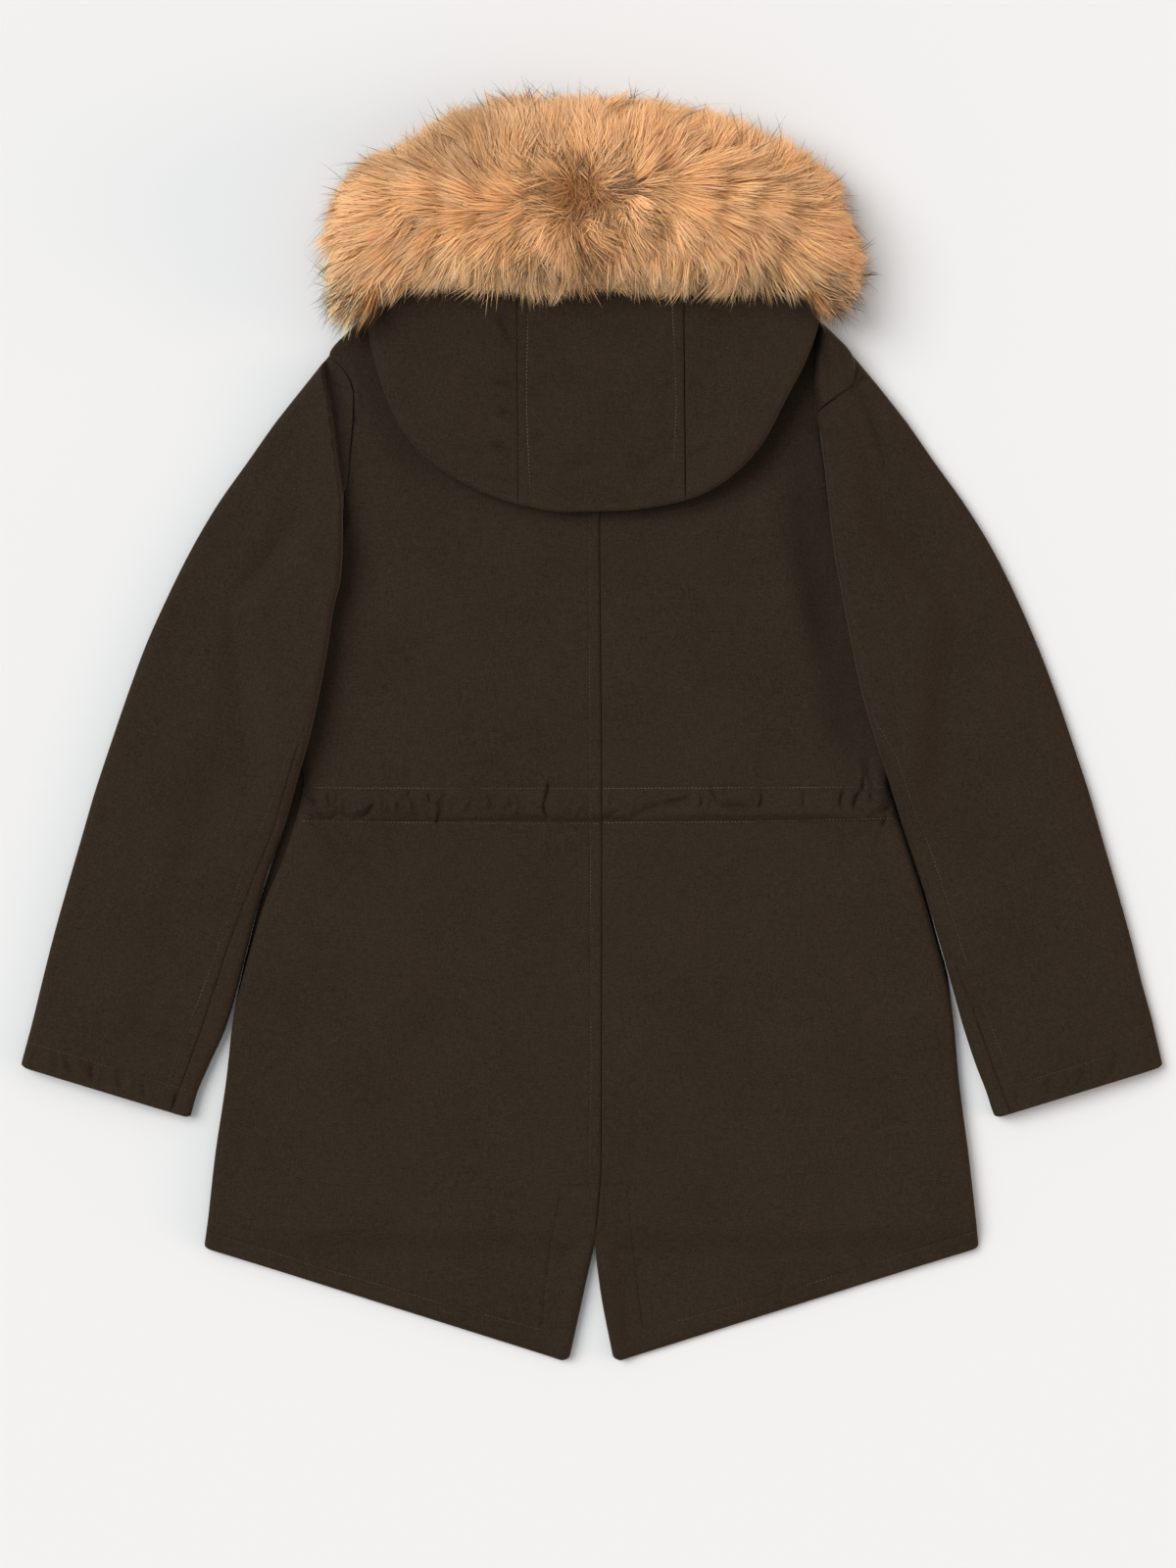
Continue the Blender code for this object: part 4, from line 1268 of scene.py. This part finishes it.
def make_hood_panel(name, first, last, steps, material):
    """A hood panel: from the neck seam beneath, round the bottom fold, up to the face edge."""
    table = numbered(HOOD_FOLD)
    fold_x, fold_y, edge_x = (track(table, column) for column in (1, 2, 3))
    even = np.linspace(0, 1, steps + 1)
    at = first + (last - first) * (even - 0.12 * np.sin(2 * math.pi * even))
    retreat = 0.004
    if first in HOOD_SEAMS:
        at[0] += retreat
    if last in HOOD_SEAMS:
        at[-1] -= retreat
    start = np.stack([fold_x(at), fold_y(at)], -1)
    end = np.stack([edge_x(at), np.full(at.shape, HOOD_EDGE_Y)], -1)
    length = np.hypot(*(end - start).T)
    half = HOOD_HEIGHT / 2
    neck = length - (HOOD_EDGE_Y - HOOD_NECK_Y)
    reach = np.minimum(HOOD_ROUND, neck * 0.5)
    inner_reach = np.maximum(reach - HOOD_WALL, 0.6)

    def level(height):
        return np.full(len(at), height)

    rows = []  # place, height, the hollow's place and height, and the share of relief
    for share in np.linspace(1.0, 0.0, HOOD_ROWS_BENEATH)[:-1]:
        place = reach + (neck - reach) * share
        rows.append((place, level(0.0), place, level(HOOD_WALL), 0.0))
    for angle in np.radians(np.linspace(-90, 90, HOOD_ROWS_ROUND)):
        up = math.sin(angle)
        hollow = reach - inner_reach * math.cos(angle)
        height, hollow_height = level(half + half * up), level(half + (half - HOOD_WALL) * up)
        rows.append((reach * (1 - np.cos(angle)), height, hollow, hollow_height, max(0.0, up) ** 2))
    for share in np.linspace(0.0, 1.0, HOOD_ROWS)[1:]:
        place = reach + (length - reach) * share
        height = HOOD_HEIGHT + HOOD_PUFF * math.sin(math.pi * share) * ease(length / 120)
        relief = float(ease((1.0 - share) / 0.04))
        rows.append((place, height, place, height - HOOD_WALL, relief))
    places, heights, hollow_places, hollow_heights, upper = zip(*rows)

    def spread(shares, height, relief):
        t = np.array(shares).T / length[:, None]
        x = start[:, :1] + (end - start)[:, :1] * t
        y = start[:, 1:] + (end - start)[:, 1:] * t
        z = HOOD_UNDERSIDE + np.array(height).T + relief * hood_rise(x, y) + hood_lift(x, y)
        return np.stack([x, y, z], -1)

    outer = spread(places, heights, np.array(upper))
    inner = spread(hollow_places, hollow_heights, 0.0)[::COARSER, ::COARSER]
    return wall(name, outer, inner, material)


# Sewing


STITCH_PITCH = 2.8
STITCH_LENGTH = 1.8
STITCH_RADIUS = 0.27
STITCH_STRAY = 0.12
STITCH_PROUD = 0.05
STITCH_SIDES = 5
OVERHEAD = 200.0  # above all of the cloth
STEEPEST = 0.35  # cloth that faces up less than this hides its stitches


def stitch_row(cloth, points, random):
    """The places and directions of the stitches of one row, laid on a piece of cloth."""
    tree = BVHTree.FromPolygons(
        [v.co / MM for v in cloth.data.vertices], [p.vertices[:] for p in cloth.data.polygons])
    points = np.array(points, float)
    steps = np.hypot(*np.diff(points, axis=0).T)
    run = np.concatenate([[0], np.cumsum(steps)])
    places = np.arange(STITCH_PITCH / 2, run[-1], STITCH_PITCH)
    centres, ways = [], []
    for place in places:
        x = np.interp(place, run, points[:, 0]) + random.normal(0, STITCH_STRAY)
        y = np.interp(place, run, points[:, 1]) + random.normal(0, STITCH_STRAY)
        segment = min(int(np.searchsorted(run, place)) - 1, len(steps) - 1)
        way = (points[segment + 1] - points[segment]) / steps[segment]
        hit, normal, _, _ = tree.ray_cast(Vector((x, y, OVERHEAD)), Vector((0, 0, -1)))
        if hit is None or abs(normal.z) < STEEPEST:
            continue
        along_way = Vector((*way, 0.0))
        along_way -= normal * along_way.dot(normal)
        centres.append(hit + normal * STITCH_PROUD)
        ways.append((along_way.normalized(), normal))
    return centres, ways


def make_sewing(name, cloth, rows, material, random):
    """All the stitches of one piece of cloth, as one mesh of small spindles."""
    rings = ((-0.5, 0.25), (-0.28, 1.0), (0.28, 1.0), (0.5, 0.25))  # along the stitch, girth
    sides = STITCH_SIDES
    points, faces = [], []
    for row in rows:
        for centre, (way, normal) in zip(*stitch_row(cloth, row, random)):
            across = way.cross(normal)
            first = len(points)
            for share, girth in rings:
                for side in range(sides):
                    turn = 2 * math.pi * side / sides
                    out = across * math.cos(turn) + normal * math.sin(turn)
                    points.append(centre + way * share * STITCH_LENGTH + out * STITCH_RADIUS * girth)
            for ring in range(len(rings) - 1):
                for side in range(sides):
                    a = first + ring * sides + side
                    b = first + ring * sides + (side + 1) % sides
                    faces.append((a, b, b + sides, a + sides))
    ends = np.arange(sides)[None] + np.arange(0, len(points), sides)[:, None]
    caps = np.concatenate([ends[0::len(rings)], ends[len(rings) - 1::len(rings)]])
    piece = new_piece(name, np.array(points), [np.array(faces), caps], material)
    return piece


# Fur


HAIRS = 114000
HAIR_PIECES = 4
CLUMPS = 8800
LOCKS = 520
HAIR_POINTS = 4
HAIR_WIDTH = 0.60
HAIR_LENGTH = 36.0
HAIR_CEILING = 94.0
LENGTH_SPREAD = 0.15
SHORT_SHARE = 0.22  # this share of the hairs is shorter by SHORT_LENGTH
SHORT_LENGTH = 0.72
GUARD_LENGTH = (1.1, 1.7)  # times the length of the other hairs
HAIR_LIFT = 0.44  # how steeply the hair rises from the skin
HAIR_CURL = 1.5
HAIR_SAG = 2.5
CLUMP_GATHER = 0.40  # how far the tips of a clump and of a lock draw together
LOCK_GATHER = 0.12
STRAY_SHARE = 0.10
STRAY_REACH = 9.0
GUARD_REACH = 15.0
SWIRL = (-5.0, 404.0)
SWIRL_RADIUS = 26.0
BROWN_PATCHES = (
    # middle x, middle y, half width, half height, share
    (-9, 405, 27, 18, 0.95),
    (-11, 372, 15, 22, 0.5),
    (12, 360, 46, 13, 0.38),
)
DARK_TUFTS = (
    # x, y, radius
    (-33, 476, 9),
    (-20, 478, 6),
    (-196, 374, 7),
    (-186, 420, 6),
    (-37, 379, 6),
    (12, 415, 7),
    (130, 452, 8),
    (190, 412, 8),
    (200, 350, 8),
    (103, 344, 7),
    (57, 344, 7),
    (-60, 342, 6),
    (-145, 345, 8),
    (-28, 416, 6),
    (4, 407, 6),
    (22, 397, 5),
    (-4, 386, 5),
)
FUR_INSET_FAR = 20.0
FUR_INSET_NEAR = 26.0
FUR_INSET_TOP = 12.0
FUR_INSET_END = 0.915
FUR_END = 212.0
ROOT_ENDS = (-187, 189)
SKIN_ENDS = (-186, 188)
SKIN_ON_HOOD = 26.6
SKIN_ON_FLOOR = 1.2
LOWEST_HAIR = (27.3, 15.0, 0.8)  # on the hood, on the shoulders and on the floor
REACH_STEP = 2.0
REACH_X = np.arange(-250, 251, REACH_STEP)
REACH_Y = np.arange(260, 541, REACH_STEP)

HAIR_ROOT = np.array((0.40, 0.175, 0.062))
HAIR_GOLD = np.array((0.84, 0.44, 0.175))
HAIR_PALE = np.array((0.98, 0.70, 0.43))
HAIR_STRAW = np.array((0.74, 0.54, 0.32))
HAIR_BROWN = np.array((0.25, 0.085, 0.022))
HAIR_BLACK = np.array((0.018, 0.013, 0.012))


def fringe_line(x):
    """The near edge of the trim's hair: a little uneven over the hood, drawn in at its right end."""
    over_hood = ease((176 - np.abs(x)) / 10)
    uneven_edge = 2.4 + 1.6 * np.sin(x / 19 + 1.4) - 1.2 * ease(x / 60)
    right_end = 11 * ease((x - 183) / 12)
    left_end = -5 * ease((x + 194) / 5) * ease((-177 - x) / 4)
    return fur_outline[1](x) + over_hood * uneven_edge + right_end + left_end


def fur_reach():
    """How far beyond the trim's outline each place of a grid is; negative inside."""
    xs = np.linspace(-211, 211.5, 500)
    far, near = fur_outline[0](xs), fringe_line(xs)
    end = [(side, y) for side in (-FUR_END, FUR_END) for y in np.linspace(353, 376, 10)]
    line = np.concatenate([np.stack([xs, far], -1), np.stack([xs, near], -1), np.array(end)])
    grid_x, grid_y = np.meshgrid(REACH_X, REACH_Y, indexing="ij")
    away = np.full(grid_x.shape, 1e9)
    for px, py in line:
        away = np.minimum(away, np.hypot(grid_x - px, grid_y - py))
    inside = (grid_y < fur_outline[0](grid_x)) & (grid_y > fringe_line(grid_x))
    inside &= np.abs(grid_x) < FUR_END
    return np.where(inside, -away, away)


def beyond_outline(field, x, y):
    """The reach of the grid read at any places, between its four nearest points."""
    i = np.clip((x - REACH_X[0]) / REACH_STEP, 0, len(REACH_X) - 1.001)
    j = np.clip((y - REACH_Y[0]) / REACH_STEP, 0, len(REACH_Y) - 1.001)
    low_i, low_j = i.astype(int), j.astype(int)
    u, v = i - low_i, j - low_j
    one = field[low_i, low_j] * (1 - u) + field[low_i + 1, low_j] * u
    other = field[low_i, low_j + 1] * (1 - u) + field[low_i + 1, low_j + 1] * u
    return one * (1 - v) + other * v


def fur_skin(x, a):
    """The skin under the hair: x along the trim, a from 0 at the far edge to pi at the near one."""
    wide = x / FUR_INSET_END
    far, near, height = (read(wide) for read in fur_outline)
    inset = 0.45 + 0.55 * ease((210 - np.abs(wide)) / 60)
    far = far - FUR_INSET_FAR * inset
    near = near + FUR_INSET_NEAR * inset
    near = np.minimum(near, far - 4)
    height = height - FUR_INSET_TOP
    y = far + (near - far) * (1 - np.cos(a)) / 2
    on_hood = ease((184 - np.abs(x)) / 6) * ease((400 - y) / 60)
    base = (HOOD_UNDERSIDE + HOOD_HEIGHT + 1.6) * on_hood + FUR_FOOT
    tufts = 2.2 * np.sin(x / 7.7 + 1.3 * np.sin(a * 2.7)) * np.sin(a * 1.9 + x / 13)
    share = np.clip(np.sin(a), 0, 1) ** 0.75
    z = base + (height - base + tufts) * share
    return np.stack([x, y, np.maximum(z, 3.0)], -1)


def unit(v):
    return v / np.maximum(np.linalg.norm(v, axis=-1, keepdims=True), 1e-9)


def make_underfur(material):
    """A closed skin with the trim's form, which carries the hair."""
    places = np.linspace(*SKIN_ENDS, 120)
    angles = np.linspace(0, math.pi, 41)
    x, a = np.meshgrid(places, angles, indexing="ij")
    over = fur_skin(x, a)
    flat = over.copy()[:, ::-1][:, 1:-1]
    on_hood = (flat[..., 1] < 345) & (np.abs(flat[..., 0]) < 178)
    flat[..., 2] = np.where(on_hood, SKIN_ON_HOOD, SKIN_ON_FLOOR)
    rings = np.concatenate([over, flat], axis=1)
    rows, size = rings.shape[:2]
    index = np.arange(rows * size).reshape(rows, size)
    around = np.concatenate([index, index[:, :1]], axis=1)
    faces = [grid_faces(around), index[[0, -1]]]
    return new_piece("underfur", rings.reshape(-1, 3), faces, material)


def lie_of_hair(x, y):
    """The way that hair is combed in plan: up above the ridge, down below it, out at the ends."""
    ridge = SWIRL[1] + 7 * np.sin(x / 38) - 16 * ease((np.abs(x) - 90) / 100)
    above = (y - ridge) / 17
    out = np.clip((x - SWIRL[0]) / 60, -1, 1)
    ends = np.clip((np.abs(x) - 110) / 80, 0, 1) ** 1.3
    along_y = np.tanh(above)
    sideways = out * (0.26 + 0.9 * np.exp(-above**2)) + np.sign(x) * ends * 1.5
    turn = 0.30 * np.sin(x / 23 + 1.3 * np.sin(y / 19)) * np.sin(y / 29 + x / 67 + 0.8)
    turn += 0.22 * np.sin(x / 11 + y / 17) * np.sin(y / 13 - x / 31)
    across = along_y - 0.22 * np.exp(-above**2)
    return np.stack(turned(sideways, across, turn), -1)


def hair_floor(x, y):
    """The height below which no hair goes: the hood, the shoulders or the floor beneath it."""
    on_hood = (np.abs(x) < 177) & (y < 341)
    on_shoulder = (np.abs(x) < 196) & (y < 338)
    hood, shoulder, floor = LOWEST_HAIR
    return np.where(on_hood, hood, np.where(on_shoulder, shoulder, floor))


def hair_roots(random):
    """Roots spread evenly over the skin, and the skin's normals at them."""
    tries = HAIRS * 3
    x = random.uniform(*ROOT_ENDS, tries)
    a = random.uniform(0.02, math.pi - 0.02, tries)
    skin = fur_skin(x, a)
    along_x = fur_skin(x + 0.5, a) - fur_skin(x - 0.5, a)
    along_a = (fur_skin(x, a + 0.01) - fur_skin(x, a - 0.01)) / 0.02
    cross = np.cross(along_x, along_a)
    area = np.linalg.norm(cross, axis=1)
    chosen = random.uniform(0, 1, tries) < area / np.percentile(area, 99) * 0.98
    chosen = np.flatnonzero(chosen)[:HAIRS]
    normal = unit(cross[chosen])
    normal *= np.where(normal[:, 2:] < 0, -1.0, 1.0)
    return skin[chosen], normal


def combed(random, root, normal, clump, lock, swirl):
    """The way that each hair lies: as combed, turned by its clump and lock, along the skin."""
    comb = lie_of_hair(root[:, 0], root[:, 1])
    turn = random.normal(0, 0.20, CLUMPS)[clump] + random.normal(0, 0.22, LOCKS)[lock]
    turn = turn * (1 + 3.5 * swirl) + random.normal(0, 0.15, len(root)) * (1 + 3 * swirl)
    plan = turned(comb[:, 0], comb[:, 1], turn)
    tangent = unit(np.stack([*plan, np.zeros(len(root))], -1))
    return unit(tangent - normal * (tangent * normal).sum(1, keepdims=True))


def trimmed(random, root, hair, clump, lock, guard):
    """The hairs, each shortened until its tip keeps to its own reach beyond the outline."""
    count = len(root)
    field = fur_reach()
    allowed = random.normal(0, 2.8, CLUMPS)[clump] + random.normal(0, 4.2, LOCKS)[lock]
    allowed = allowed * (1 + 0.5 * ease((376 - root[:, 1]) / 14)) + random.uniform(-4.5, 3.0, count)
    stray = random.uniform(0, 1, count) < STRAY_SHARE
    allowed = np.where(stray, allowed + random.uniform(0, STRAY_REACH, count), allowed)
    allowed = np.where(guard, allowed + random.uniform(0, GUARD_REACH, count), allowed)
    share = np.full(count, 0.3)
    for trial in (0.4, 0.5, 0.6, 0.7, 0.8, 0.9, 1.0):
        tip = root + (hair[:, -1] - root) * trial
        share = np.where(beyond_outline(field, tip[:, 0], tip[:, 1]) < allowed, trial, share)
    return root[:, None] + (hair - root[:, None]) * share[:, None, None]


def grow_hair(random):
    """The points, skin normals, widths and colours of all hairs."""
    root, normal = hair_roots(random)
    count = len(root)
    clump_centres, clump = nearest_of(random, root, CLUMPS)
    lock_centres, lock = nearest_of(random, root, LOCKS)
    from_swirl = np.hypot(root[:, 0] - SWIRL[0], (root[:, 1] - SWIRL[1]) * 1.2)
    swirl = np.exp(-((from_swirl / SWIRL_RADIUS) ** 2))
    tangent = combed(random, root, normal, clump, lock, swirl)
    guard = guard_hairs(random, root, lock, clump)
    length = HAIR_LENGTH * np.clip(random.normal(1, LENGTH_SPREAD, count), 0.55, 1.4)
    length *= (1 + random.normal(0, 0.10, CLUMPS))[clump] * (1 + random.normal(0, 0.10, LOCKS))[lock]
    length *= 1 - 0.4 * swirl
    short = random.uniform(0, 1, count) < SHORT_SHARE
    length = np.where(short, length * SHORT_LENGTH, length)
    length = np.where(guard, length * random.uniform(*GUARD_LENGTH, count), length)
    lift = HAIR_LIFT + random.normal(0, 0.07, count) + random.normal(0, 0.08, CLUMPS)[clump]
    lift = lift + random.normal(0, 0.10, LOCKS)[lock] + 0.25 * swirl
    lift = np.clip(lift, 0.12, 1.0)[:, None]

    shares = np.linspace(0, 1, HAIR_POINTS)
    curl = random.normal(0, 1.0, (count, 3))
    strands = []
    for s in shares:
        rise = normal * lift * (s - 0.38 * s * s)
        run = tangent * (0.5 * s + 0.5 * s * s)
        point = root + length[:, None] * (rise + run)
        point += curl * HAIR_CURL * math.sin(2.6 * s) * s
        point[:, 2] -= HAIR_SAG * s * s
        strands.append(point)
    hair = np.stack(strands, 1)
    gather = np.clip(random.normal(CLUMP_GATHER, 0.14, CLUMPS), 0.05, 0.8)[clump]
    gather = np.where(guard, gather * 0.4, gather)
    towards_clump = hair[clump_centres][clump] - hair
    towards_lock = hair[lock_centres][lock] - hair
    for k, s in enumerate(shares):
        hair[:, k] += towards_clump[:, k] * (gather * s**1.5)[:, None]
        hair[:, k] += towards_lock[:, k] * LOCK_GATHER * s**1.5
    hair = trimmed(random, root, hair, clump, lock, guard)
    for k in range(1, HAIR_POINTS):
        floor = hair_floor(hair[:, k, 0], hair[:, k, 1]) + random.uniform(0, 1.6, count)
        hair[:, k, 2] = np.clip(hair[:, k, 2], floor, HAIR_CEILING)

    colour = hair_colours(random, root, hair, clump, lock, guard, short, shares)
    width = HAIR_WIDTH * np.clip(random.normal(1, 0.2, count), 0.5, 1.6)
    width = np.where(guard, width * 0.9, width)
    return hair, normal, width, colour


def nearest_of(random, root, count):
    """Some roots chosen as leaders, and for each root the number of its nearest leader."""
    leaders = random.choice(len(root), count, replace=False)
    tree = KDTree(count)
    for number, leader in enumerate(leaders):
        tree.insert(root[leader], number)
    tree.balance()
    return leaders, np.array([tree.find(point)[1] for point in root])


def guard_hairs(random, root, lock, clump):
    """Which hairs are long and dark: few, in tufts, more at the ends, the far edge and the fringe."""
    at_x, at_y = root[:, 0], root[:, 1]
    ends = ease((np.abs(at_x) - 125) / 60) * (0.4 + 0.6 * ease((at_y - 350) / 20))
    top = ease((at_y - 440) / 30) * ease((70 - np.abs(at_x + 20)) / 40)
    fringe = ease((362 - at_y) / 14) * (1 - 0.65 * ease((np.abs(at_x) - 166) / 14))
    chance = 0.008 + 0.02 * ends + 0.02 * top + 0.20 * fringe
    dark_clump = (random.uniform(0, 1, CLUMPS) < 0.035)[clump]
    dark_lock = (random.uniform(0, 1, LOCKS) < 0.10)[lock]
    chance = chance * (1 + 2.0 * dark_lock) + 0.14 * dark_clump * (0.3 + ends + top + fringe)
    for x, y, radius in DARK_TUFTS:
        chance += 0.28 * bump(np.hypot(at_x - x, at_y - y), radius)
    return random.uniform(0, 1, len(root)) < chance


def hair_colours(random, root, hair, clump, lock, guard, short, shares):
    """A colour for each point of each hair, from a deep root through gold to a pale tip, with painted
    light on the trim's near side.
    """
    count = len(root)
    pale = 0.46 + random.normal(0, 0.20, CLUMPS)[clump] + random.normal(0, 0.17, count)
    pale = np.clip(pale + random.normal(0, 0.12, LOCKS)[lock], 0, 1)
    pale = np.where(short, pale * 0.3, pale)
    mottle = random.normal(0, 0.07, CLUMPS)[clump] + random.normal(0, 0.08, count)
    at_x, at_y = root[:, 0], root[:, 1]
    tip_x, tip_y = hair[:, -1, 0], hair[:, -1, 1]
    tint_and_painted_light = 0.97 + mottle * (1 + 1.1 * ease((362 - tip_y) / 22))  # more uneven in the fringe
    tint_and_painted_light *= 1 + random.normal(0, 0.05, LOCKS)[lock]
    # Painted light: hair rooted towards the near edge is made brighter, standing in for light that the
    # lamp doesn't give it.
    tint_and_painted_light *= 1 + 0.06 * ease((394 - at_y) / 50)
    tint_and_painted_light *= 1 - 0.26 * ease((-50 - tip_x) / 60) * ease((tip_y - 418) / 20)  # far edge, left
    tint_and_painted_light *= 1 + 0.70 * ease((-158 - at_x) / 18) * ease((366 - at_y) / 16)  # near edge, left end: painted light, made brighter where the lamp leaves it darker
    tint_and_painted_light *= 1 - 0.12 * ease((at_x - 90) / 50)
    tint_and_painted_light *= 1 - 0.05 * ease((352 - tip_y) / 14)
    fringe = ease((356 - tip_y) / 24)
    brown = np.zeros(count)
    for middle_x, middle_y, half_width, half_height, share in BROWN_PATCHES:
        off_x = (hair[:, 1, 0] - middle_x) / half_width
        off_y = (hair[:, 1, 1] - middle_y) / half_height
        off = np.hypot(off_x, off_y)
        brown = np.maximum(brown, share * np.exp(-off**2 * 1.2))
    chosen = random.uniform(0, 1, CLUMPS)[clump] * 0.7 + random.uniform(0, 1, count) * 0.3
    brown = np.clip(ease((brown * 1.35 - chosen) / 0.3 + 0.5) * 0.92, 0, 0.92) * (brown > 0.05)
    colours = []
    for s in shares:
        gold = ease((s - 0.04) / 0.56)
        shade = HAIR_ROOT + (HAIR_GOLD - HAIR_ROOT) * gold
        tip = ease((s - 0.45) / 0.55)
        target = HAIR_PALE + (HAIR_STRAW - HAIR_PALE) * fringe[:, None]
        shade = shade + (target - shade) * (tip * np.clip(pale + 0.4 * fringe, 0, 1))[:, None]
        shade = shade + (HAIR_BROWN - shade) * (brown * (1 - 0.25 * s))[:, None]
        shade = shade * tint_and_painted_light[:, None]
        dark = (guard * ease((s - 0.25) / 0.4) * 0.93)[:, None]
        shade = shade + (HAIR_BLACK - shade) * dark
        colours.append(shade)
    return np.clip(np.stack(colours, 1), 0.005, 1.0)


def make_hair(name, hair, normal, width, colour, material):
    """Hairs as thin ribbons that face outwards and end in a point."""
    count = len(hair)
    way = np.gradient(hair, axis=1)
    across = unit(np.cross(way, normal[:, None, :]))
    taper = np.array([0.8, 1.0, 0.8])[None, :, None]
    half = across[:, :-1] * width[:, None, None] * taper / 2
    left = hair[:, :-1] - half
    right = hair[:, :-1] + half
    pairs = np.stack([left, right], 2).reshape(count, -1, 3)
    points = np.concatenate([pairs, hair[:, -1:]], axis=1)
    size = points.shape[1]
    first = (np.arange(count) * size)[:, None]
    quads = np.array([[0, 1, 3, 2], [2, 3, 5, 4]])
    faces = [
        (first[:, None] + quads[None]).reshape(-1, 4),
        (first + np.array([[4, 5, 6]])).reshape(-1, 3),
    ]
    piece = new_piece(name, points.reshape(-1, 3), faces, material, sharp=None)
    shades = np.concatenate([np.repeat(colour[:, :-1], 2, axis=1), colour[:, -1:]], axis=1)
    shades = np.concatenate([shades, np.ones((*shades.shape[:2], 1))], -1)
    layer = piece.data.color_attributes.new("hair_colour", "FLOAT_COLOR", "POINT")
    layer.data.foreach_set("color", shades.astype(np.float32).ravel())
    return piece


def make_fur(random):
    skin = make_underfur(fur_backing())
    hair, normal, width, colour = grow_hair(random)
    material = fur_hair()
    pieces = [skin]
    for part in range(HAIR_PIECES):
        own = np.s_[part::HAIR_PIECES]
        pieces.append(make_hair(f"fur_hair_{part + 1}", hair[own], normal[own], width[own],
                                colour[own], material))
    for piece in pieces:
        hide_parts("fur_trim")


# The garment


def declare(node):
    """A piece of cloth stands for its solid, whose part is hidden."""
    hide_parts(node)


def make_garment(random):
    body_cotton = cotton("body cotton", 0.0)
    hood_cotton = cotton("hood cotton", 0.03)
    sleeve_cotton = {
        "left": cotton("left sleeve cotton", 0.30),
        "right": cotton("right sleeve cotton", -0.30),
    }
    thread = sewing_thread("sewing thread", THREAD_LIGHT)
    dim_thread = sewing_thread("dim sewing thread", THREAD_DIM)
    shade_painted_thread = sewing_thread("sewing thread painted as shade", THREAD_PAINTED_SHADE)
    for hand in ("left", "right"):
        back = make_back(hand, body_cotton)
        declare(f"back_{hand}")
        make_sewing(f"sewing_casing_{hand}", back, CASING_ROWS[f"back_{hand}"], thread, random)
        rows = [HEM_ROWS[f"back_{hand}"]]
        if hand == "left":
            rows.append(BACK_TOPSTITCH)
        make_sewing(f"sewing_back_{hand}", back, rows, dim_thread, random)
        # The vent box's rows are drawn in thread painted dark as the shade of their grooves.
        make_sewing(f"sewing_vent_{hand}", back, [VENT_BOX[f"back_{hand}"]], shade_painted_thread, random)
        front = make_front(hand, body_cotton)
        declare(f"front_{hand}")
        sleeve = make_sleeve(hand, sleeve_cotton[hand])
        declare(f"sleeve_{hand}")
        rows = [SLEEVE_TOPSTITCH[hand], CUFF_ROW[hand]]
        make_sewing(f"sewing_sleeve_{hand}", sleeve, rows, dim_thread, random)
    flap = make_storm_flap(body_cotton)
    declare("storm_flap")
    left_seam, right_seam = HOOD_SEAMS
    panels = (
        ("hood_side_left", 0, left_seam, 64),
        ("hood_centre", left_seam, right_seam, 44),
        ("hood_side_right", right_seam, len(HOOD_FOLD) - 1, 64),
    )
    for name, first, last, steps in panels:
        panel = make_hood_panel(f"shell_{name}", first, last, steps, hood_cotton)
        declare(name)
        if name == "hood_centre":
            rows = [HOOD_TOPSTITCH["left"], HOOD_TOPSTITCH["right"]]
            make_sewing("sewing_hood", panel, rows, thread, random)


# Floor, light and camera


def make_floor():
    recipe = Recipe("pale floor", Roughness=0.9, Specular_IOR_Level=0.0)
    recipe.shader.inputs["Base Color"].default_value = FLOOR_COLOUR
    size = 9000.0
    corners = np.array([(-size, -size, 0), (size, -size, 0), (size, size, 0), (-size, size, 0)])
    mesh = bpy.data.meshes.new("floor")
    mesh.from_pydata([tuple(c * MM) for c in corners], [], [(0, 1, 2, 3)])
    mesh.materials.append(recipe.material)
    floor = bpy.data.objects.new("floor", mesh)
    floor.location.z = -0.0002
    bpy.context.scene.collection.objects.link(floor)


def make_light():
    """Even pale light all round, a broad light from the left and a low warm one from the right."""
    world = bpy.data.worlds.new("studio")
    world.use_nodes = True
    background = world.node_tree.nodes["Background"]
    background.inputs["Color"].default_value = SURROUND_COLOUR
    bpy.context.scene.world = world
    lamps = (
        # name, towards the lamp, strength, breadth in degrees, colour
        ("main light", (-0.61, 0.27, 0.75), 2.60, 42, (1.0, 1.0, 1.0)),
        ("side light", (0.97, -0.10, 0.17), 1.9, 34, (1.0, 0.72, 0.56)),
    )
    for name, towards, strength, breadth, colour in lamps:
        light = bpy.data.lights.new(name, "SUN")
        light.energy = strength
        light.color = colour
        light.angle = math.radians(breadth)
        lamp = bpy.data.objects.new(name, light)
        lamp.rotation_euler = Vector(towards).to_track_quat("Z", "Y").to_euler()
        bpy.context.scene.collection.objects.link(lamp)


def make_camera():
    """Straight above the garment, with a frame that is as tall as view_height at the floor."""
    aim = (-3.04, -43.3)
    height = 5000.0
    view_height = 1216.0
    camera = bpy.data.cameras.new("camera")
    camera.sensor_fit = "VERTICAL"
    camera.sensor_height = 36.0
    camera.lens = camera.sensor_height * height / view_height
    camera.clip_end = 100.0
    above = bpy.data.objects.new("camera", camera)
    above.location = (aim[0] * MM, aim[1] * MM, height * MM)
    bpy.context.scene.collection.objects.link(above)
    bpy.context.scene.camera = above


bpy.context.scene.view_settings.view_transform = "Standard"
draw = np.random.default_rng(RANDOM_SEED)
make_floor()
make_light()
make_camera()
make_garment(draw)
make_fur(draw)
